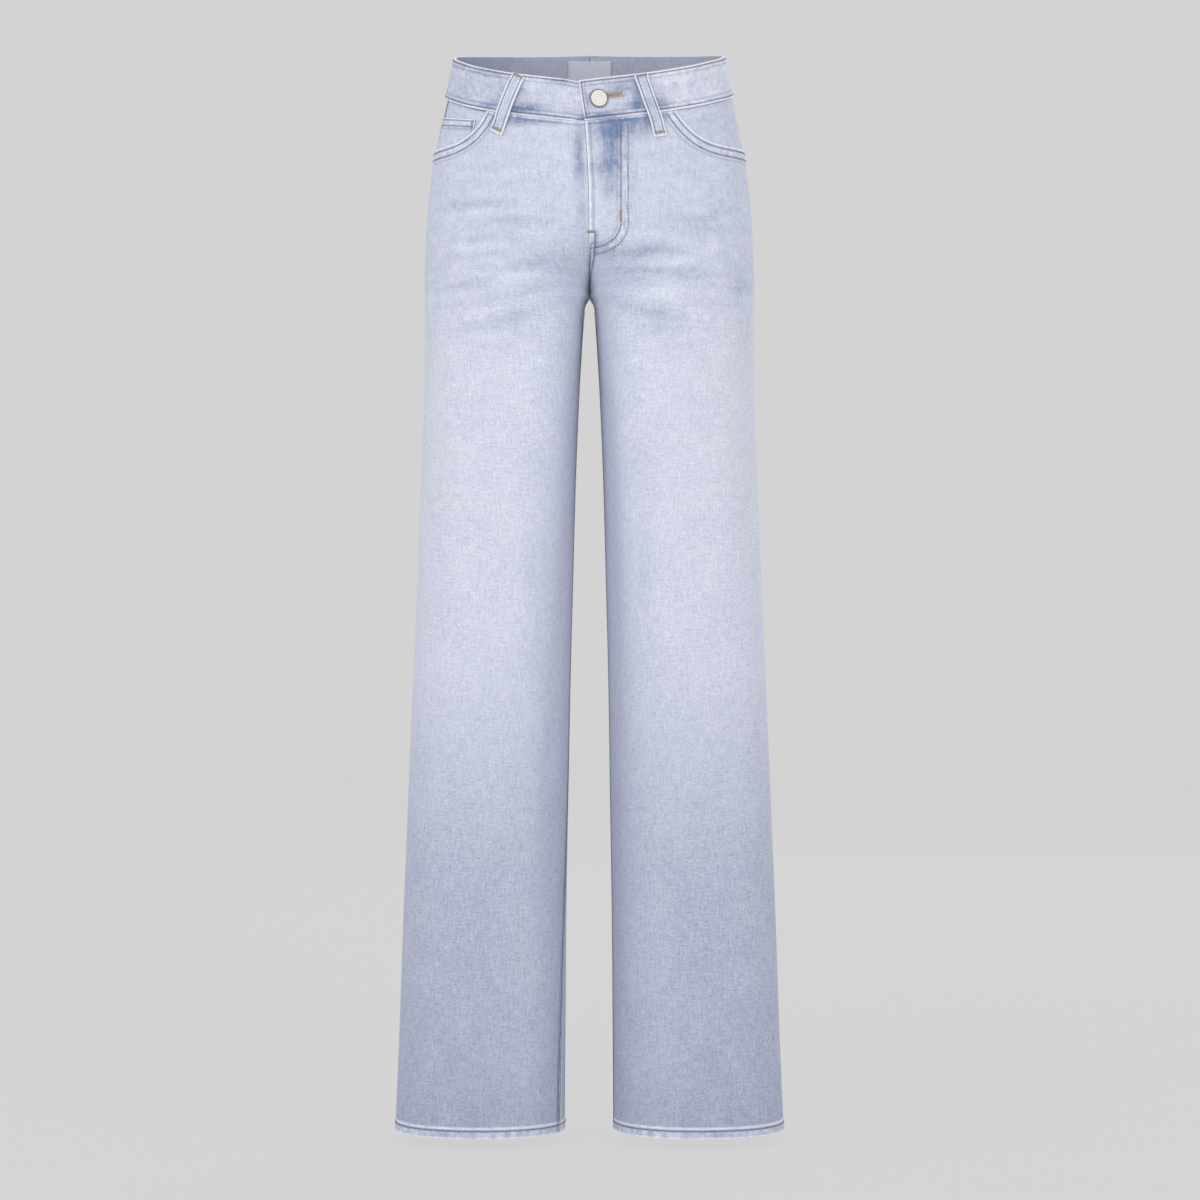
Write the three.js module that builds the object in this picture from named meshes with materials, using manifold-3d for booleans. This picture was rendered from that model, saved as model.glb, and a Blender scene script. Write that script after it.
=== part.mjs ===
// Wide-leg five-pocket jeans, filled out as if worn, with nobody in them.
// Millimetres, +Z up. X runs to the wearer's left, and the front faces -Y.
// The origin is the middle of the waist opening, at half the height of the waistband at the sides.
// Every piece of cloth is a thin wall on one garment surface, cut out in height and turn about the leg.
import * as THREE from "three";
import Module from "manifold-3d";

const wasm = await Module();
wasm.setup();

// Cloth and seams
const CLOTH = 1.2; // denim
const THIN = 1.0; // pocketing, facings and tapes
const SEAM = 0.3; // between two pieces that are sewn together
const LAYER = 0.45; // between a piece and the one that it lies on

// Heights
const HEM_Z = -1047.5;
const HEM_TURN_UP = 9;
const CROTCH_Z = -218;
const CROTCH_RISE = 96; // above the crotch, the legs have become one body
const LEVEL_TOP = -112; // rows of the panels are level up to here
const BAND_HEIGHT = 40.5;

// Seams, in degrees of turn about the leg: 0 is outermost, -90 the front and 90 the back
const SIDE_SEAM = 5;
const INSEAM_TWIST = 21; // how far the wearer's right inseam has come forward at the hem
const INSEAM_TWIST_TOP = -470;

// The garment's surface. reach is the half width over both legs, and gap half the space between them.
// ridge is how far out a leg is deepest, and front and back are the depths there.
// out and in fill the corners of its oval on the outer and the inner side.
const SECTIONS = [
  { z: -1048, reach: 194, gap: 24.6, ridge: 108, front: 77, back: 78, out: 0.03, in: 0.03 },
  { z: -960, reach: 190.3, gap: 24, ridge: 103, front: 78, back: 80, out: 0.032, in: 0.034 },
  { z: -840, reach: 186, gap: 23.2, ridge: 95, front: 80, back: 83, out: 0.034, in: 0.04 },
  { z: -720, reach: 181.2, gap: 21.4, ridge: 86, front: 83, back: 87, out: 0.036, in: 0.048 },
  { z: -600, reach: 176.2, gap: 19.6, ridge: 78, front: 88, back: 91, out: 0.038, in: 0.056 },
  { z: -480, reach: 171, gap: 16.6, ridge: 70, front: 94, back: 97, out: 0.04, in: 0.064 },
  { z: -400, reach: 168, gap: 14.4, ridge: 66, front: 99, back: 103, out: 0.042, in: 0.068 },
  { z: -320, reach: 165.2, gap: 11.2, ridge: 62, front: 104, back: 110, out: 0.043, in: 0.07 },
  { z: -280, reach: 164.5, gap: 9, ridge: 60, front: 106, back: 115, out: 0.044, in: 0.07 },
  { z: -250, reach: 164.4, gap: 7, ridge: 58.5, front: 107.5, back: 119, out: 0.045, in: 0.07 },
  { z: -232, reach: 164.4, gap: 5.2, ridge: 57.5, front: 108.5, back: 122, out: 0.045, in: 0.07 },
  { z: -223, reach: 164.4, gap: 3.2, ridge: 57, front: 108.8, back: 123, out: 0.045, in: 0.07 },
  { z: -218, reach: 164.5, gap: 0.2, ridge: 57, front: 109, back: 124, out: 0.045, in: 0.07 },
  { z: -200, reach: 164.5, gap: 0, ridge: 57, front: 109, back: 126, out: 0.045, in: 0.068 },
  { z: -152, reach: 163, gap: 0, ridge: 57, front: 107.5, back: 129, out: 0.046, in: 0.055 },
  { z: -120, reach: 160.2, gap: 0, ridge: 57, front: 105, back: 127, out: 0.046, in: 0.046 },
  { z: -88, reach: 156.8, gap: 0, ridge: 57, front: 102, back: 122, out: 0.046, in: 0.046 },
  { z: -64, reach: 153.2, gap: 0, ridge: 57, front: 99.5, back: 116.5, out: 0.042, in: 0.042 },
  { z: -20, reach: 143.2, gap: 0, ridge: 57, front: 94.5, back: 105, out: 0.035, in: 0.035 },
  { z: 23, reach: 134.2, gap: 0, ridge: 57, front: 90, back: 95.5, out: 0.03, in: 0.03 },
  { z: 60, reach: 127, gap: 0, ridge: 57, front: 86, back: 88, out: 0.03, in: 0.03 },
];

// The waistband's top edge, by degrees round from the centre front
const BAND_TOP = [
  { round: 0, z: -14.5 },
  { round: 27, z: -5.5 },
  { round: 47, z: 4.0 },
  { round: 62, z: 12.0 },
  { round: 90, z: 23.5 },
  { round: 135, z: 34.0 },
  { round: 180, z: 39.0 },
];
const FRONT_TWIST = 4.2; // degrees that the closed front sits towards the wearer's right

// The edge of the fly and of the waistband over it, which leans to the wearer's right
const FLY_EDGE = [
  { z: -148, x: 0 },
  { z: -112, x: -0.8 },
  { z: -57, x: -4.2 },
  { z: -35, x: -7.6 },
  { z: -14, x: -10.4 },
];

// Soft troughs and ridges of the worn cloth. lean is degrees from upright, half is half the length.
const FOLDS = [
  { side: -1, turn: -110, z: -590, lean: 3, half: 330, wide: 19, deep: 2.4 },
  { side: -1, turn: -140, z: -600, lean: -2, half: 340, wide: 17, deep: -2.6 },
  { side: -1, turn: -62, z: -720, lean: -4, half: 300, wide: 26, deep: -1.8 },
  { side: -1, turn: 74, z: -560, lean: 5, half: 300, wide: 22, deep: -2.8 },
  { side: -1, turn: 112, z: -700, lean: -3, half: 330, wide: 24, deep: 2.8 },
  { side: -1, turn: 148, z: -520, lean: -7, half: 240, wide: 18, deep: -2.6 },
  { side: -1, turn: 118, z: -300, lean: 74, half: 95, wide: 13, deep: -3.0 },
  { side: -1, turn: 126, z: -338, lean: 66, half: 80, wide: 12, deep: 1.8 },
  { side: 1, turn: -119, z: -560, lean: -3, half: 320, wide: 18, deep: 2.3 },
  { side: 1, turn: -147, z: -540, lean: 2, half: 330, wide: 17, deep: -2.6 },
  { side: 1, turn: -56, z: -640, lean: 4, half: 310, wide: 25, deep: -1.7 },
  { side: 1, turn: 80, z: -640, lean: -5, half: 320, wide: 23, deep: -2.8 },
  { side: 1, turn: 116, z: -640, lean: 4, half: 300, wide: 24, deep: 2.6 },
  { side: 1, turn: 152, z: -560, lean: 6, half: 260, wide: 18, deep: -2.4 },
  { side: 1, turn: 122, z: -296, lean: -72, half: 90, wide: 13, deep: -2.8 },
  { side: 1, turn: 130, z: -330, lean: -64, half: 85, wide: 12, deep: 1.9 },
];
const FOLD_RADIUS = 88; // turns a fold's degrees into millimetres
const SEAM_CALM = 34; // folds die out this far from the centre seams

// Front pocket mouth: it drops fast from the waistband and runs level to the side seam
const MOUTH_START = { right: 99, left: 93 }; // from the fly edge along the waistband
const MOUTH_DROP = 35;
const MOUTH_CURVE = 16;
const MOUTH_CLIMB = 0.045; // how steeply it climbs again to the side
const MOUTH_LEVEL = -50; // the width of the front is measured here for it
const FACING = { under: 27, columns: 3, low: -118 }; // under is how far it runs on past the mouth's start
const BAG = { under: 54, columns: 6, low: -184 };
const COIN = { start: 14, width: 70, frontTop: -48.5, sideTop: -39, low: -106 };

// Closure
const FLY = { width: 41, straightTo: -157, low: -188, foot: 6 };
const ZIP = { from: 3, to: 29, low: -172 };
const SHIELD = { from: -12, fromAtTop: -16, to: 38, low: -178, corner: 12 };
const FLY_RIDGE = 0.9; // the folded edge stands up
const FELLED_RIDGE = 0.5; // so does the inseam
const UNDERLAP = 38;
const BUTTON = { x: 8, z: -33, radius: 9.3, lean: 12 };
const HOLE = { from: 7, eyelet: 3.7, end: 31, slot: 1.7 };

// Back
const YOKE_SIDE_Z = -52;
const YOKE_BACK_Z = -80;
const PATCH_LOWEST_ROW = -233;
const PATCH = { middle: 83, top: -90, width: 126, foot: 110, tall: 102, point: 14, lean: 3 };
const LABEL = { width: 45, tall: 24, below: 6 };

// Belt loops, with their places along the band from the fly edge or from the centre back
const LOOP_WIDTH = 13;
const LOOP_BELOW = 24; // under the waistband
const LOOPS = [
  { name: "belt_loop_front_right", side: -1, from: "front", top: 57, foot: 89 },
  { name: "belt_loop_front_left", side: 1, from: "front", top: 60, foot: 73 },
  { name: "belt_loop_back_right", side: -1, from: "back", top: 101, foot: 104 },
  { name: "belt_loop_back_left", side: 1, from: "back", top: 101, foot: 104 },
];

const BLUE = 0xc3c9dc;
const rad = THREE.MathUtils.degToRad;
const clamp = THREE.MathUtils.clamp;
const smooth = (x) => THREE.MathUtils.smoothstep(x, 0, 1);

// Reads a column of a table at a height or an angle, on a smooth curve through its rows
function read(table, key, at, column) {
  const rows = table[0][key] < table[1][key] ? table : [...table].reverse();
  const last = rows.length - 1;
  const where = clamp(at, rows[0][key], rows[last][key]);
  let i = 0;
  while (i < last - 1 && rows[i + 1][key] < where) i++;
  const slope = (k) => {
    const a = rows[Math.max(k - 1, 0)];
    const b = rows[Math.min(k + 1, last)];
    return (b[column] - a[column]) / (b[key] - a[key]);
  };
  const [p, q] = [rows[i], rows[i + 1]];
  const width = q[key] - p[key];
  const s = (where - p[key]) / width;
  const [s2, s3] = [s * s, s * s * s];
  return (
    p[column] * (2 * s3 - 3 * s2 + 1) +
    slope(i) * width * (s3 - 2 * s2 + s) +
    q[column] * (3 * s2 - 2 * s3) +
    slope(i + 1) * width * (s3 - s2)
  );
}

// The oval that one leg has at a height. Above the crotch both ovals run together into the hips.
function oval(z) {
  const at = (column) => read(SECTIONS, "z", z, column);
  const o = { front: at("front"), back: at("back"), fillOut: at("out"), fillIn: at("in") };
  const [reach, gap, ridge] = [at("reach"), at("gap"), at("ridge")];
  if (z < CROTCH_Z) return { ...o, centre: ridge, outer: reach - ridge, inner: ridge - gap };
  const apart = 1 - smooth((z - CROTCH_Z) / CROTCH_RISE);
  const inner = reach + (ridge - reach) * apart;
  return { ...o, centre: inner * apart, outer: reach - inner * apart, inner };
}
const ovalX = (o, turn) => {
  const [half, fill] = Math.cos(turn) < 0 ? [o.inner, o.fillIn] : [o.outer, o.fillOut];
  return o.centre + half * Math.cos(turn) * (1 + fill * Math.sin(2 * turn) ** 2);
};

// How far the folds push the cloth out at a place
function foldAt(side, turn, z, x) {
  let out = 0;
  for (const fold of FOLDS) {
    if (fold.side !== side) continue;
    const apart = Math.atan2(Math.sin(turn - rad(fold.turn)), Math.cos(turn - rad(fold.turn)));
    const round = apart * FOLD_RADIUS;
    const up = z - fold.z;
    const lean = rad(fold.lean);
    const along = (round * Math.sin(lean) + up * Math.cos(lean)) / fold.half;
    const across = (round * Math.cos(lean) - up * Math.sin(lean)) / fold.wide;
    if (Math.abs(along) < 1) out += fold.deep * Math.exp(-across * across) * (1 - along * along) ** 2;
  }
  const hips = smooth((z - CROTCH_Z + 34) / 34);
  return out * (1 - hips * (1 - smooth(Math.abs(x) / SEAM_CALM)));
}

// A point of the wearer's left half. The right half is its mirror image, but for its folds.
function halfPoint(side, turn, z) {
  const o = oval(z);
  const deep = Math.sin(turn) < 0 ? o.front : o.back;
  const [half, fill] = Math.cos(turn) < 0 ? [o.inner, o.fillIn] : [o.outer, o.fillOut];
  const x = ovalX(o, turn);
  const y = deep * Math.sin(turn) * (1 + fill * Math.sin(2 * turn) ** 2);
  const out = new THREE.Vector2(Math.cos(turn) / half, Math.sin(turn) / deep).normalize();
  const fold = foldAt(side, turn, z, x);
  return new THREE.Vector3(x + out.x * fold, y + out.y * fold, z);
}

function halfNormal(side, turn, z) {
  const round = halfPoint(side, turn + 0.01, z).sub(halfPoint(side, turn - 0.01, z));
  const up = halfPoint(side, turn, z + 1).sub(halfPoint(side, turn, z - 1));
  return round.cross(up).normalize();
}

// A point of the garment, moved out of its surface by lift
function place(side, turn, z, lift = 0) {
  const point = halfPoint(side, turn, z).addScaledVector(halfNormal(side, turn, z), lift);
  point.x *= side;
  return point;
}

// The turn that is a distance along the cloth from another, at one height
function walk(side, turn, z, distance) {
  const steps = Math.max(1, Math.ceil(Math.abs(distance) / 3));
  for (let i = 0; i < steps; i++) {
    const speed = halfPoint(side, turn + 0.005, z).distanceTo(halfPoint(side, turn - 0.005, z)) / 0.01;
    turn += distance / steps / speed;
  }
  return turn;
}

// The turn at which a half reaches x, on its front (-1) or its back (1)
function turnAtX(z, x, face) {
  const o = oval(z);
  let [near, far] = [0, Math.PI];
  for (let i = 0; i < 40; i++) {
    const turn = (near + far) / 2;
    if (ovalX(o, turn) > x) near = turn;
    else far = turn;
  }
  return (face * (near + far)) / 2;
}

const flyEdge = (z) => read(FLY_EDGE, "z", z, "x");
const sideTurn = rad(SIDE_SEAM);

// The inner edges of a half: the fly edge and rises above the crotch, and the inseam below it
function inseamShift(side, z) {
  const down = clamp((INSEAM_TWIST_TOP - z) / (INSEAM_TWIST_TOP - HEM_Z), 0, 1);
  return side < 0 ? rad(INSEAM_TWIST) * smooth(down) : 0;
}
function frontInner(side, z) {
  const turn = z < CROTCH_Z ? -Math.PI + inseamShift(side, z) : turnAtX(z, side * flyEdge(z), -1);
  return walk(side, turn, z, SEAM / 2);
}
function backInner(side, z) {
  const turn = z < CROTCH_Z ? Math.PI + inseamShift(side, z) : turnAtX(z, 0, 1);
  return walk(side, turn, z, -SEAM / 2);
}

// The stretch of cloth between two turns at a height, and a share of the way along it
const stretches = new Map();
function stretch(side, z, face) {
  const key = [side, face, z.toFixed(4)].join();
  if (!stretches.has(key)) {
    const from = face < 0 ? frontInner(side, z) : walk(side, sideTurn, z, SEAM / 2);
    const to = face < 0 ? walk(side, sideTurn, z, -SEAM / 2) : backInner(side, z);
    const [turns, lengths] = [[from], [0]];
    let before = halfPoint(side, from, z);
    for (let i = 1; i <= 90; i++) {
      const turn = from + ((to - from) * i) / 90;
      const point = halfPoint(side, turn, z);
      turns.push(turn);
      lengths.push(lengths[i - 1] + point.distanceTo(before));
      before = point;
    }
    stretches.set(key, { turns, lengths, length: lengths[90] });
  }
  return stretches.get(key);
}
// Columns run straight down from the waist, and spread out towards the inseam and the crotch's points
const PLAIN_Z = CROTCH_Z + CROTCH_RISE;
const EVEN_Z = -540;
function turnAtShare(side, z, face, share) {
  const s = stretch(side, z, face);
  const fromSide = clamp(face < 0 ? 1 - share : share, 0, 1);
  const plain = z < PLAIN_Z ? stretch(side, PLAIN_Z, face).length : s.length;
  const point = smooth((z - EVEN_Z) / (CROTCH_Z - EVEN_Z));
  const extra = fromSide + (fromSide ** 4 - fromSide) * point;
  const away = fromSide * plain + (s.length - plain) * extra;
  const goal = face < 0 ? s.length - away : away;
  let i = 1;
  while (i < 90 && s.lengths[i] < goal) i++;
  const part = (goal - s.lengths[i - 1]) / (s.lengths[i] - s.lengths[i - 1]);
  return s.turns[i - 1] + (s.turns[i] - s.turns[i - 1]) * part;
}

// Edges of the waistband, by turn
function bandTop(side, turn) {
  const round = clamp(THREE.MathUtils.radToDeg(turn) + 90, -60, 180);
  const twisted = round + side * FRONT_TWIST * (1 - clamp(round, 0, 180) / 180);
  return read(BAND_TOP, "round", Math.abs(twisted), "z");
}
const bandLow = (side, turn) => bandTop(side, turn) - BAND_HEIGHT;

// Settles a height that depends on the turn, when the turn is a share that depends on the height
function settle(side, face, share, height) {
  let z = -50;
  for (let i = 0; i < 12; i++) z = height(turnAtShare(side, z, face, share));
  return z;
}
const underBand = (side, face, share) => settle(side, face, share, (turn) => bandLow(side, turn) - SEAM);

// Builds a closed wall from a grid of places, with an outer and an inner lift at each of them
function wall(name, side, grid, outer, inner, colour = BLUE) {
  const [rows, columns] = [grid.length, grid[0].length];
  const points = [];
  const value = (lift, i, j) => (typeof lift === "function" ? lift(i, j, grid[i][j]) : lift);
  for (const lift of [outer, inner])
    grid.forEach((row, i) =>
      row.forEach((spot, j) => {
        const p = place(spot.side ?? side, spot.turn, spot.z, value(lift, i, j));
        points.push(p.x, p.y, p.z);
      }),
    );
  const outside = (i, j) => i * columns + j;
  const inside = (i, j) => rows * columns + i * columns + j;
  const faces = [];
  const quad = (a, b, c, d) => faces.push(a, b, c, a, c, d);
  for (let i = 0; i < rows - 1; i++)
    for (let j = 0; j < columns - 1; j++) {
      quad(outside(i, j), outside(i, j + 1), outside(i + 1, j + 1), outside(i + 1, j));
      quad(inside(i, j), inside(i + 1, j), inside(i + 1, j + 1), inside(i, j + 1));
    }
  for (let j = 0; j < columns - 1; j++) {
    quad(outside(0, j + 1), outside(0, j), inside(0, j), inside(0, j + 1));
    quad(outside(rows - 1, j), outside(rows - 1, j + 1), inside(rows - 1, j + 1), inside(rows - 1, j));
  }
  for (let i = 0; i < rows - 1; i++) {
    quad(outside(i, 0), outside(i + 1, 0), inside(i + 1, 0), inside(i, 0));
    quad(outside(i + 1, columns - 1), outside(i, columns - 1), inside(i, columns - 1), inside(i + 1, columns - 1));
  }
  return solid(name, points, faces, colour);
}

function volume(points, faces) {
  let sum = 0;
  const corner = (i) => new THREE.Vector3().fromArray(points, faces[i] * 3);
  for (let i = 0; i < faces.length; i += 3) sum += corner(i).dot(corner(i + 1).cross(corner(i + 2)));
  return sum / 6;
}

function solid(name, points, faces, colour) {
  const outward = volume(points, faces) > 0 ? faces : [...faces].reverse();
  const geometry = new THREE.BufferGeometry();
  geometry.setAttribute("position", new THREE.Float32BufferAttribute(points, 3));
  geometry.setIndex(outward);
  geometry.computeVertexNormals();
  const cloth = new THREE.MeshStandardMaterial({ color: colour, roughness: 0.9, metalness: 0 });
  const mesh = new THREE.Mesh(geometry, cloth);
  mesh.name = name;
  return mesh;
}

const spread = (count, from = 0, to = 1) =>
  Array.from({ length: count + 1 }, (_, i) => from + ((to - from) * i) / count);

// Rows of a trouser panel, from the hem up to where its top edge starts to shape it
const HEM_TOP = HEM_Z + HEM_TURN_UP;
const HEM_STEP = 0.6; // height of the step at the edge of the turn-up
const LEG_ROWS = [HEM_Z, HEM_TOP, HEM_TOP + HEM_STEP, ...spread(17, HEM_TOP + 36, -285)];
const CROTCH_ROWS = [-262, -245, -233, -225, -220.5, -218, -216, -212.5, -207, -200, -191, -180, -168, -155, -142, -128];
const LEVEL_ROWS = [...LEG_ROWS, ...CROTCH_ROWS, LEVEL_TOP];
const FLY_LOWEST_ROW = -200;
const PANEL_TOP_ROWS = 4;

const HEM = { outer: 0.5, inner: -2.4 }; // faces of the turned-up hem
const hemOuter = (z) => (z <= HEM_TOP ? HEM.outer : 0);
const hemInner = (z) => (z <= HEM_TOP ? HEM.inner : -CLOTH);

function panelGrid(side, face, columns, top, topRows) {
  const level = LEVEL_ROWS.map((z) => columns.map((u) => ({ turn: turnAtShare(side, z, face, u), z })));
  const shaped = spread(topRows).slice(1).map((v) =>
    columns.map((u) => {
      const z = LEVEL_TOP + (top(u) - LEVEL_TOP) * v;
      return { turn: turnAtShare(side, z, face, u), z };
    }),
  );
  return [...level, ...shaped];
}

// Where the pocket mouth starts, as a share of the front panel, and its height past that
const mouthShare = (side) => (side < 0 ? MOUTH_START.right : MOUTH_START.left) / stretch(side, MOUTH_LEVEL, -1).length;
function mouthZ(side, share) {
  const start = underBand(side, -1, mouthShare(side));
  const past = (share - mouthShare(side)) * stretch(side, MOUTH_LEVEL, -1).length;
  return start - MOUTH_DROP * (1 - Math.exp(-past / MOUTH_CURVE)) + MOUTH_CLIMB * past;
}
function frontTop(side, share) {
  return share <= mouthShare(side) ? underBand(side, -1, share) : mouthZ(side, share);
}
const FRONT_INNER_COLUMNS = 7; // before the one at which the pocket mouth starts
function frontColumns(side) {
  const start = mouthShare(side);
  const past = spread(10).map((v) => start + (1 - start) * v ** 1.35);
  return [0, 0.018, 0.045, ...spread(5, 0.045, start).slice(1, -1), ...past];
}

// The fly edge and the inseam are thicker, because their edges are turned in
function edgeRidge(side, share, z) {
  if (share > 0.02) return 0;
  if (z < CROTCH_Z) return FELLED_RIDGE * smooth((CROTCH_Z - 10 - z) / 30);
  return side > 0 ? FLY_RIDGE * smooth((z - FLY.low) / 25) : 0;
}

function frontPanel(name, side) {
  const columns = frontColumns(side);
  const grid = panelGrid(side, -1, columns, (u) => frontTop(side, u), PANEL_TOP_ROWS);
  const outer = (i, j, spot) => hemOuter(spot.z) + edgeRidge(side, columns[j], spot.z);
  return wall(name, side, grid, outer, (i, j, spot) => hemInner(spot.z));
}

function yokeSeam(share) {
  return YOKE_SIDE_Z + (YOKE_BACK_Z - YOKE_SIDE_Z) * share;
}
function backColumns() {
  return [...spread(9, 0, 0.955), 0.982, 1];
}
function backPanel(name, side) {
  const columns = backColumns();
  const grid = panelGrid(side, 1, columns, (u) => yokeSeam(u) - SEAM / 2, 2);
  const outer = (i, j, spot) => hemOuter(spot.z) + edgeRidge(-1, 1 - columns[j], spot.z);
  return wall(name, side, grid, outer, (i, j, spot) => hemInner(spot.z));
}
function yoke(name, side) {
  const columns = backColumns();
  const grid = spread(3).map((v) =>
    columns.map((u) => {
      const low = yokeSeam(u) + SEAM / 2;
      const z = low + (underBand(side, 1, u) - low) * v;
      return { turn: turnAtShare(side, z, 1, u), z };
    }),
  );
  return wall(name, side, grid, 0, -CLOTH);
}

// Behind the pocket mouth: the small coin pocket, the facing that it lies on, and the pocket bag
const COIN_OUTER = -CLOTH - LAYER;
const facingOuter = (side) => (side < 0 ? COIN_OUTER - THIN - LAYER : COIN_OUTER);
const bagOuter = (side) => facingOuter(side) - THIN - LAYER;

function behindMouth(name, side, cut, outer, colour) {
  const start = mouthShare(side);
  const under = cut.under / stretch(side, MOUTH_LEVEL, -1).length;
  const inner = spread(cut.columns, start - under, start).slice(0, -1);
  const columns = [...inner, ...frontColumns(side).slice(FRONT_INNER_COLUMNS)];
  const spot = (u, z) => ({ turn: turnAtShare(side, z, -1, u), z });
  const below = cut.low < FACING.low ? spread(5, cut.low, FACING.low).slice(0, -1) : [];
  const grid = [
    ...below.map((z) => columns.map((u) => spot(u, z))),
    ...spread(4).map((v) => columns.map((u) => spot(u, FACING.low + (underBand(side, -1, u) - FACING.low) * v))),
  ];
  return wall(name, side, grid, outer, outer - THIN, colour);
}

function coinPocket(name, side) {
  const length = stretch(side, MOUTH_LEVEL, -1).length;
  const start = mouthShare(side) + COIN.start / length;
  const grid = spread(6).map((v) =>
    spread(7).map((w) => {
      const top = COIN.frontTop + (COIN.sideTop - COIN.frontTop) * w;
      const z = COIN.low + (top - COIN.low) * v;
      return { turn: turnAtShare(side, z, -1, start + (w * COIN.width) / length), z };
    }),
  );
  return wall(name, side, grid, COIN_OUTER, COIN_OUTER - THIN);
}

// Places measured along the cloth from the fly edge, which may lie on the other half
function fromFly(mm, z) {
  const side = mm >= 0 ? 1 : -1;
  const turn = turnAtX(z, side * flyEdge(z), -1);
  return { side, turn: walk(side, turn, z, Math.abs(mm)), z };
}
function fromBack(side, mm, z) {
  return { side, turn: walk(side, turnAtX(z, 0, 1), z, -mm), z };
}

// Pieces that lie on a panel share its points, and are trimmed to an outline of x and z
function manifoldOf(mesh) {
  mesh.updateMatrixWorld(true);
  const geometry = mesh.geometry.clone().applyMatrix4(mesh.matrixWorld);
  return new wasm.Manifold(
    new wasm.Mesh({
      numProp: 3,
      vertProperties: new Float32Array(geometry.attributes.position.array),
      triVerts: new Uint32Array(geometry.index.array),
    }),
  );
}
function solidFrom(made, name, colour = BLUE) {
  const mesh = made.getMesh();
  const points = [];
  for (let i = 0; i < mesh.numVert; i++) {
    const at = i * mesh.numProp;
    points.push(...mesh.vertProperties.subarray(at, at + 3));
  }
  return solid(name, points, [...mesh.triVerts], colour);
}
function prism(outline, fromY, toY) {
  const section = new wasm.CrossSection([outline.map((p) => [p.x, -p.z])], "NonZero");
  const upright = section.extrude(toY - fromY).rotate([-90, 0, 0]);
  return upright.translate([0, fromY, 0]);
}
function trimmed(mesh, outline, face) {
  const [fromY, toY] = face < 0 ? [-200, 0] : [0, 200];
  return solidFrom(manifoldOf(mesh).intersect(prism(outline, fromY, toY)), mesh.name);
}

// The part of the front panels' grid that is next to the fly, with columns on both halves
const FLY_COLUMNS = { right: 3, left: 6 };
function flyGrid(right, left) {
  const top = (side) => (u) => underBand(side, -1, u);
  const rows = (side, count) => {
    const columns = frontColumns(side).slice(0, count);
    return panelGrid(side, -1, columns, top(side), PANEL_TOP_ROWS).slice(LEVEL_ROWS.indexOf(FLY_LOWEST_ROW));
  };
  const lefts = rows(1, left).map((row) => row.map((spot) => ({ ...spot, side: 1 })));
  if (!right) return lefts;
  const rights = rows(-1, right).map((row) => row.map((spot) => ({ ...spot, side: -1 })).reverse());
  return rights.map((row, i) => [...row, ...lefts[i]]);
}
function flyPiece(name, right, outer, thickness, outline) {
  const mesh = wall(name, 1, flyGrid(right, FLY_COLUMNS.left), outer, outer - thickness);
  return trimmed(mesh, outline, -1);
}
const flySide = (out) => spread(8, FLY_EDGE[0].z, 0).map((z) => ({ x: flyEdge(z) + out, z }));

function flyFacing() {
  const curve = spread(14).map((v) => {
    const down = Math.sin((v * Math.PI) / 2);
    const out = FLY.foot + (FLY.width - FLY.foot) * Math.cos((v * Math.PI) / 2);
    return { x: out, z: FLY.straightTo + (FLY.low - FLY.straightTo) * down };
  });
  const outline = [{ x: FLY.width, z: 0 }, ...curve, { x: 1, z: FLY.low }, ...flySide(1)];
  return flyPiece("fly_facing", 0, -CLOTH - LAYER, THIN, outline);
}
function zipTape() {
  const outline = [{ x: ZIP.to, z: 0 }, { x: ZIP.to, z: ZIP.low }, { x: ZIP.from, z: ZIP.low }, ...flySide(ZIP.from)];
  return flyPiece("zip_tape", 0, -CLOTH - 2 * LAYER - THIN, THIN, outline);
}
function flyShield() {
  const outline = [
    { x: SHIELD.to, z: 0 },
    { x: SHIELD.to, z: SHIELD.low + SHIELD.corner },
    { x: SHIELD.to - SHIELD.corner, z: SHIELD.low },
    { x: SHIELD.from, z: SHIELD.low },
    { x: SHIELD.from, z: LEVEL_TOP },
    { x: SHIELD.fromAtTop, z: 0 },
  ];
  return flyPiece("fly_shield", FLY_COLUMNS.right, -CLOTH - 3 * LAYER - 2 * THIN, CLOTH, outline);
}

// The waistband is two strips that meet at the centre back. The left one closes over the right.
const BAND_OUTER = 1.4;
const BAND_INNER = -1.6;
const UNDER_DROP = BAND_OUTER - BAND_INNER + LAYER;

// Places on the band, by distance from the fly edge near it and by share of the way from there on
const BAND_NEAR = { left: [0.15, 3, 9, 16, 24, 32, 40], right: [-UNDERLAP, -30, -21, -12, -4, 1.5, 5, 9, 13, 20] };
const BAND_FAR_COLUMNS = 27;
const DIP = { start: 13, end: 1.5 }; // where the right half goes down under the left one

function bandSpot(side, mm, share, v) {
  let z = BUTTON.z;
  let turn = 0;
  for (let i = 0; i < 12; i++) {
    const near = walk(side, turnAtX(z, side * flyEdge(z), -1), z, mm);
    turn = near + (backInner(side, z) - near) * share;
    z = bandLow(side, turn) + BAND_HEIGHT * v;
  }
  return { turn, z };
}

function band(name, side, near) {
  const columns = [
    ...near.map((mm) => ({ mm, share: 0 })),
    ...spread(BAND_FAR_COLUMNS).slice(1).map((share) => ({ mm: near[near.length - 1], share })),
  ];
  const grid = spread(2).map((v) => columns.map((c) => bandSpot(side, c.mm, c.share, v)));
  const drop = (j) => {
    if (side > 0 || columns[j].share > 0) return 0;
    return UNDER_DROP * smooth((DIP.start - columns[j].mm) / (DIP.start - DIP.end));
  };
  return wall(
    name,
    side,
    grid,
    (i, j) => BAND_OUTER - drop(j),
    (i, j) => BAND_INNER - drop(j),
  );
}

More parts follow.
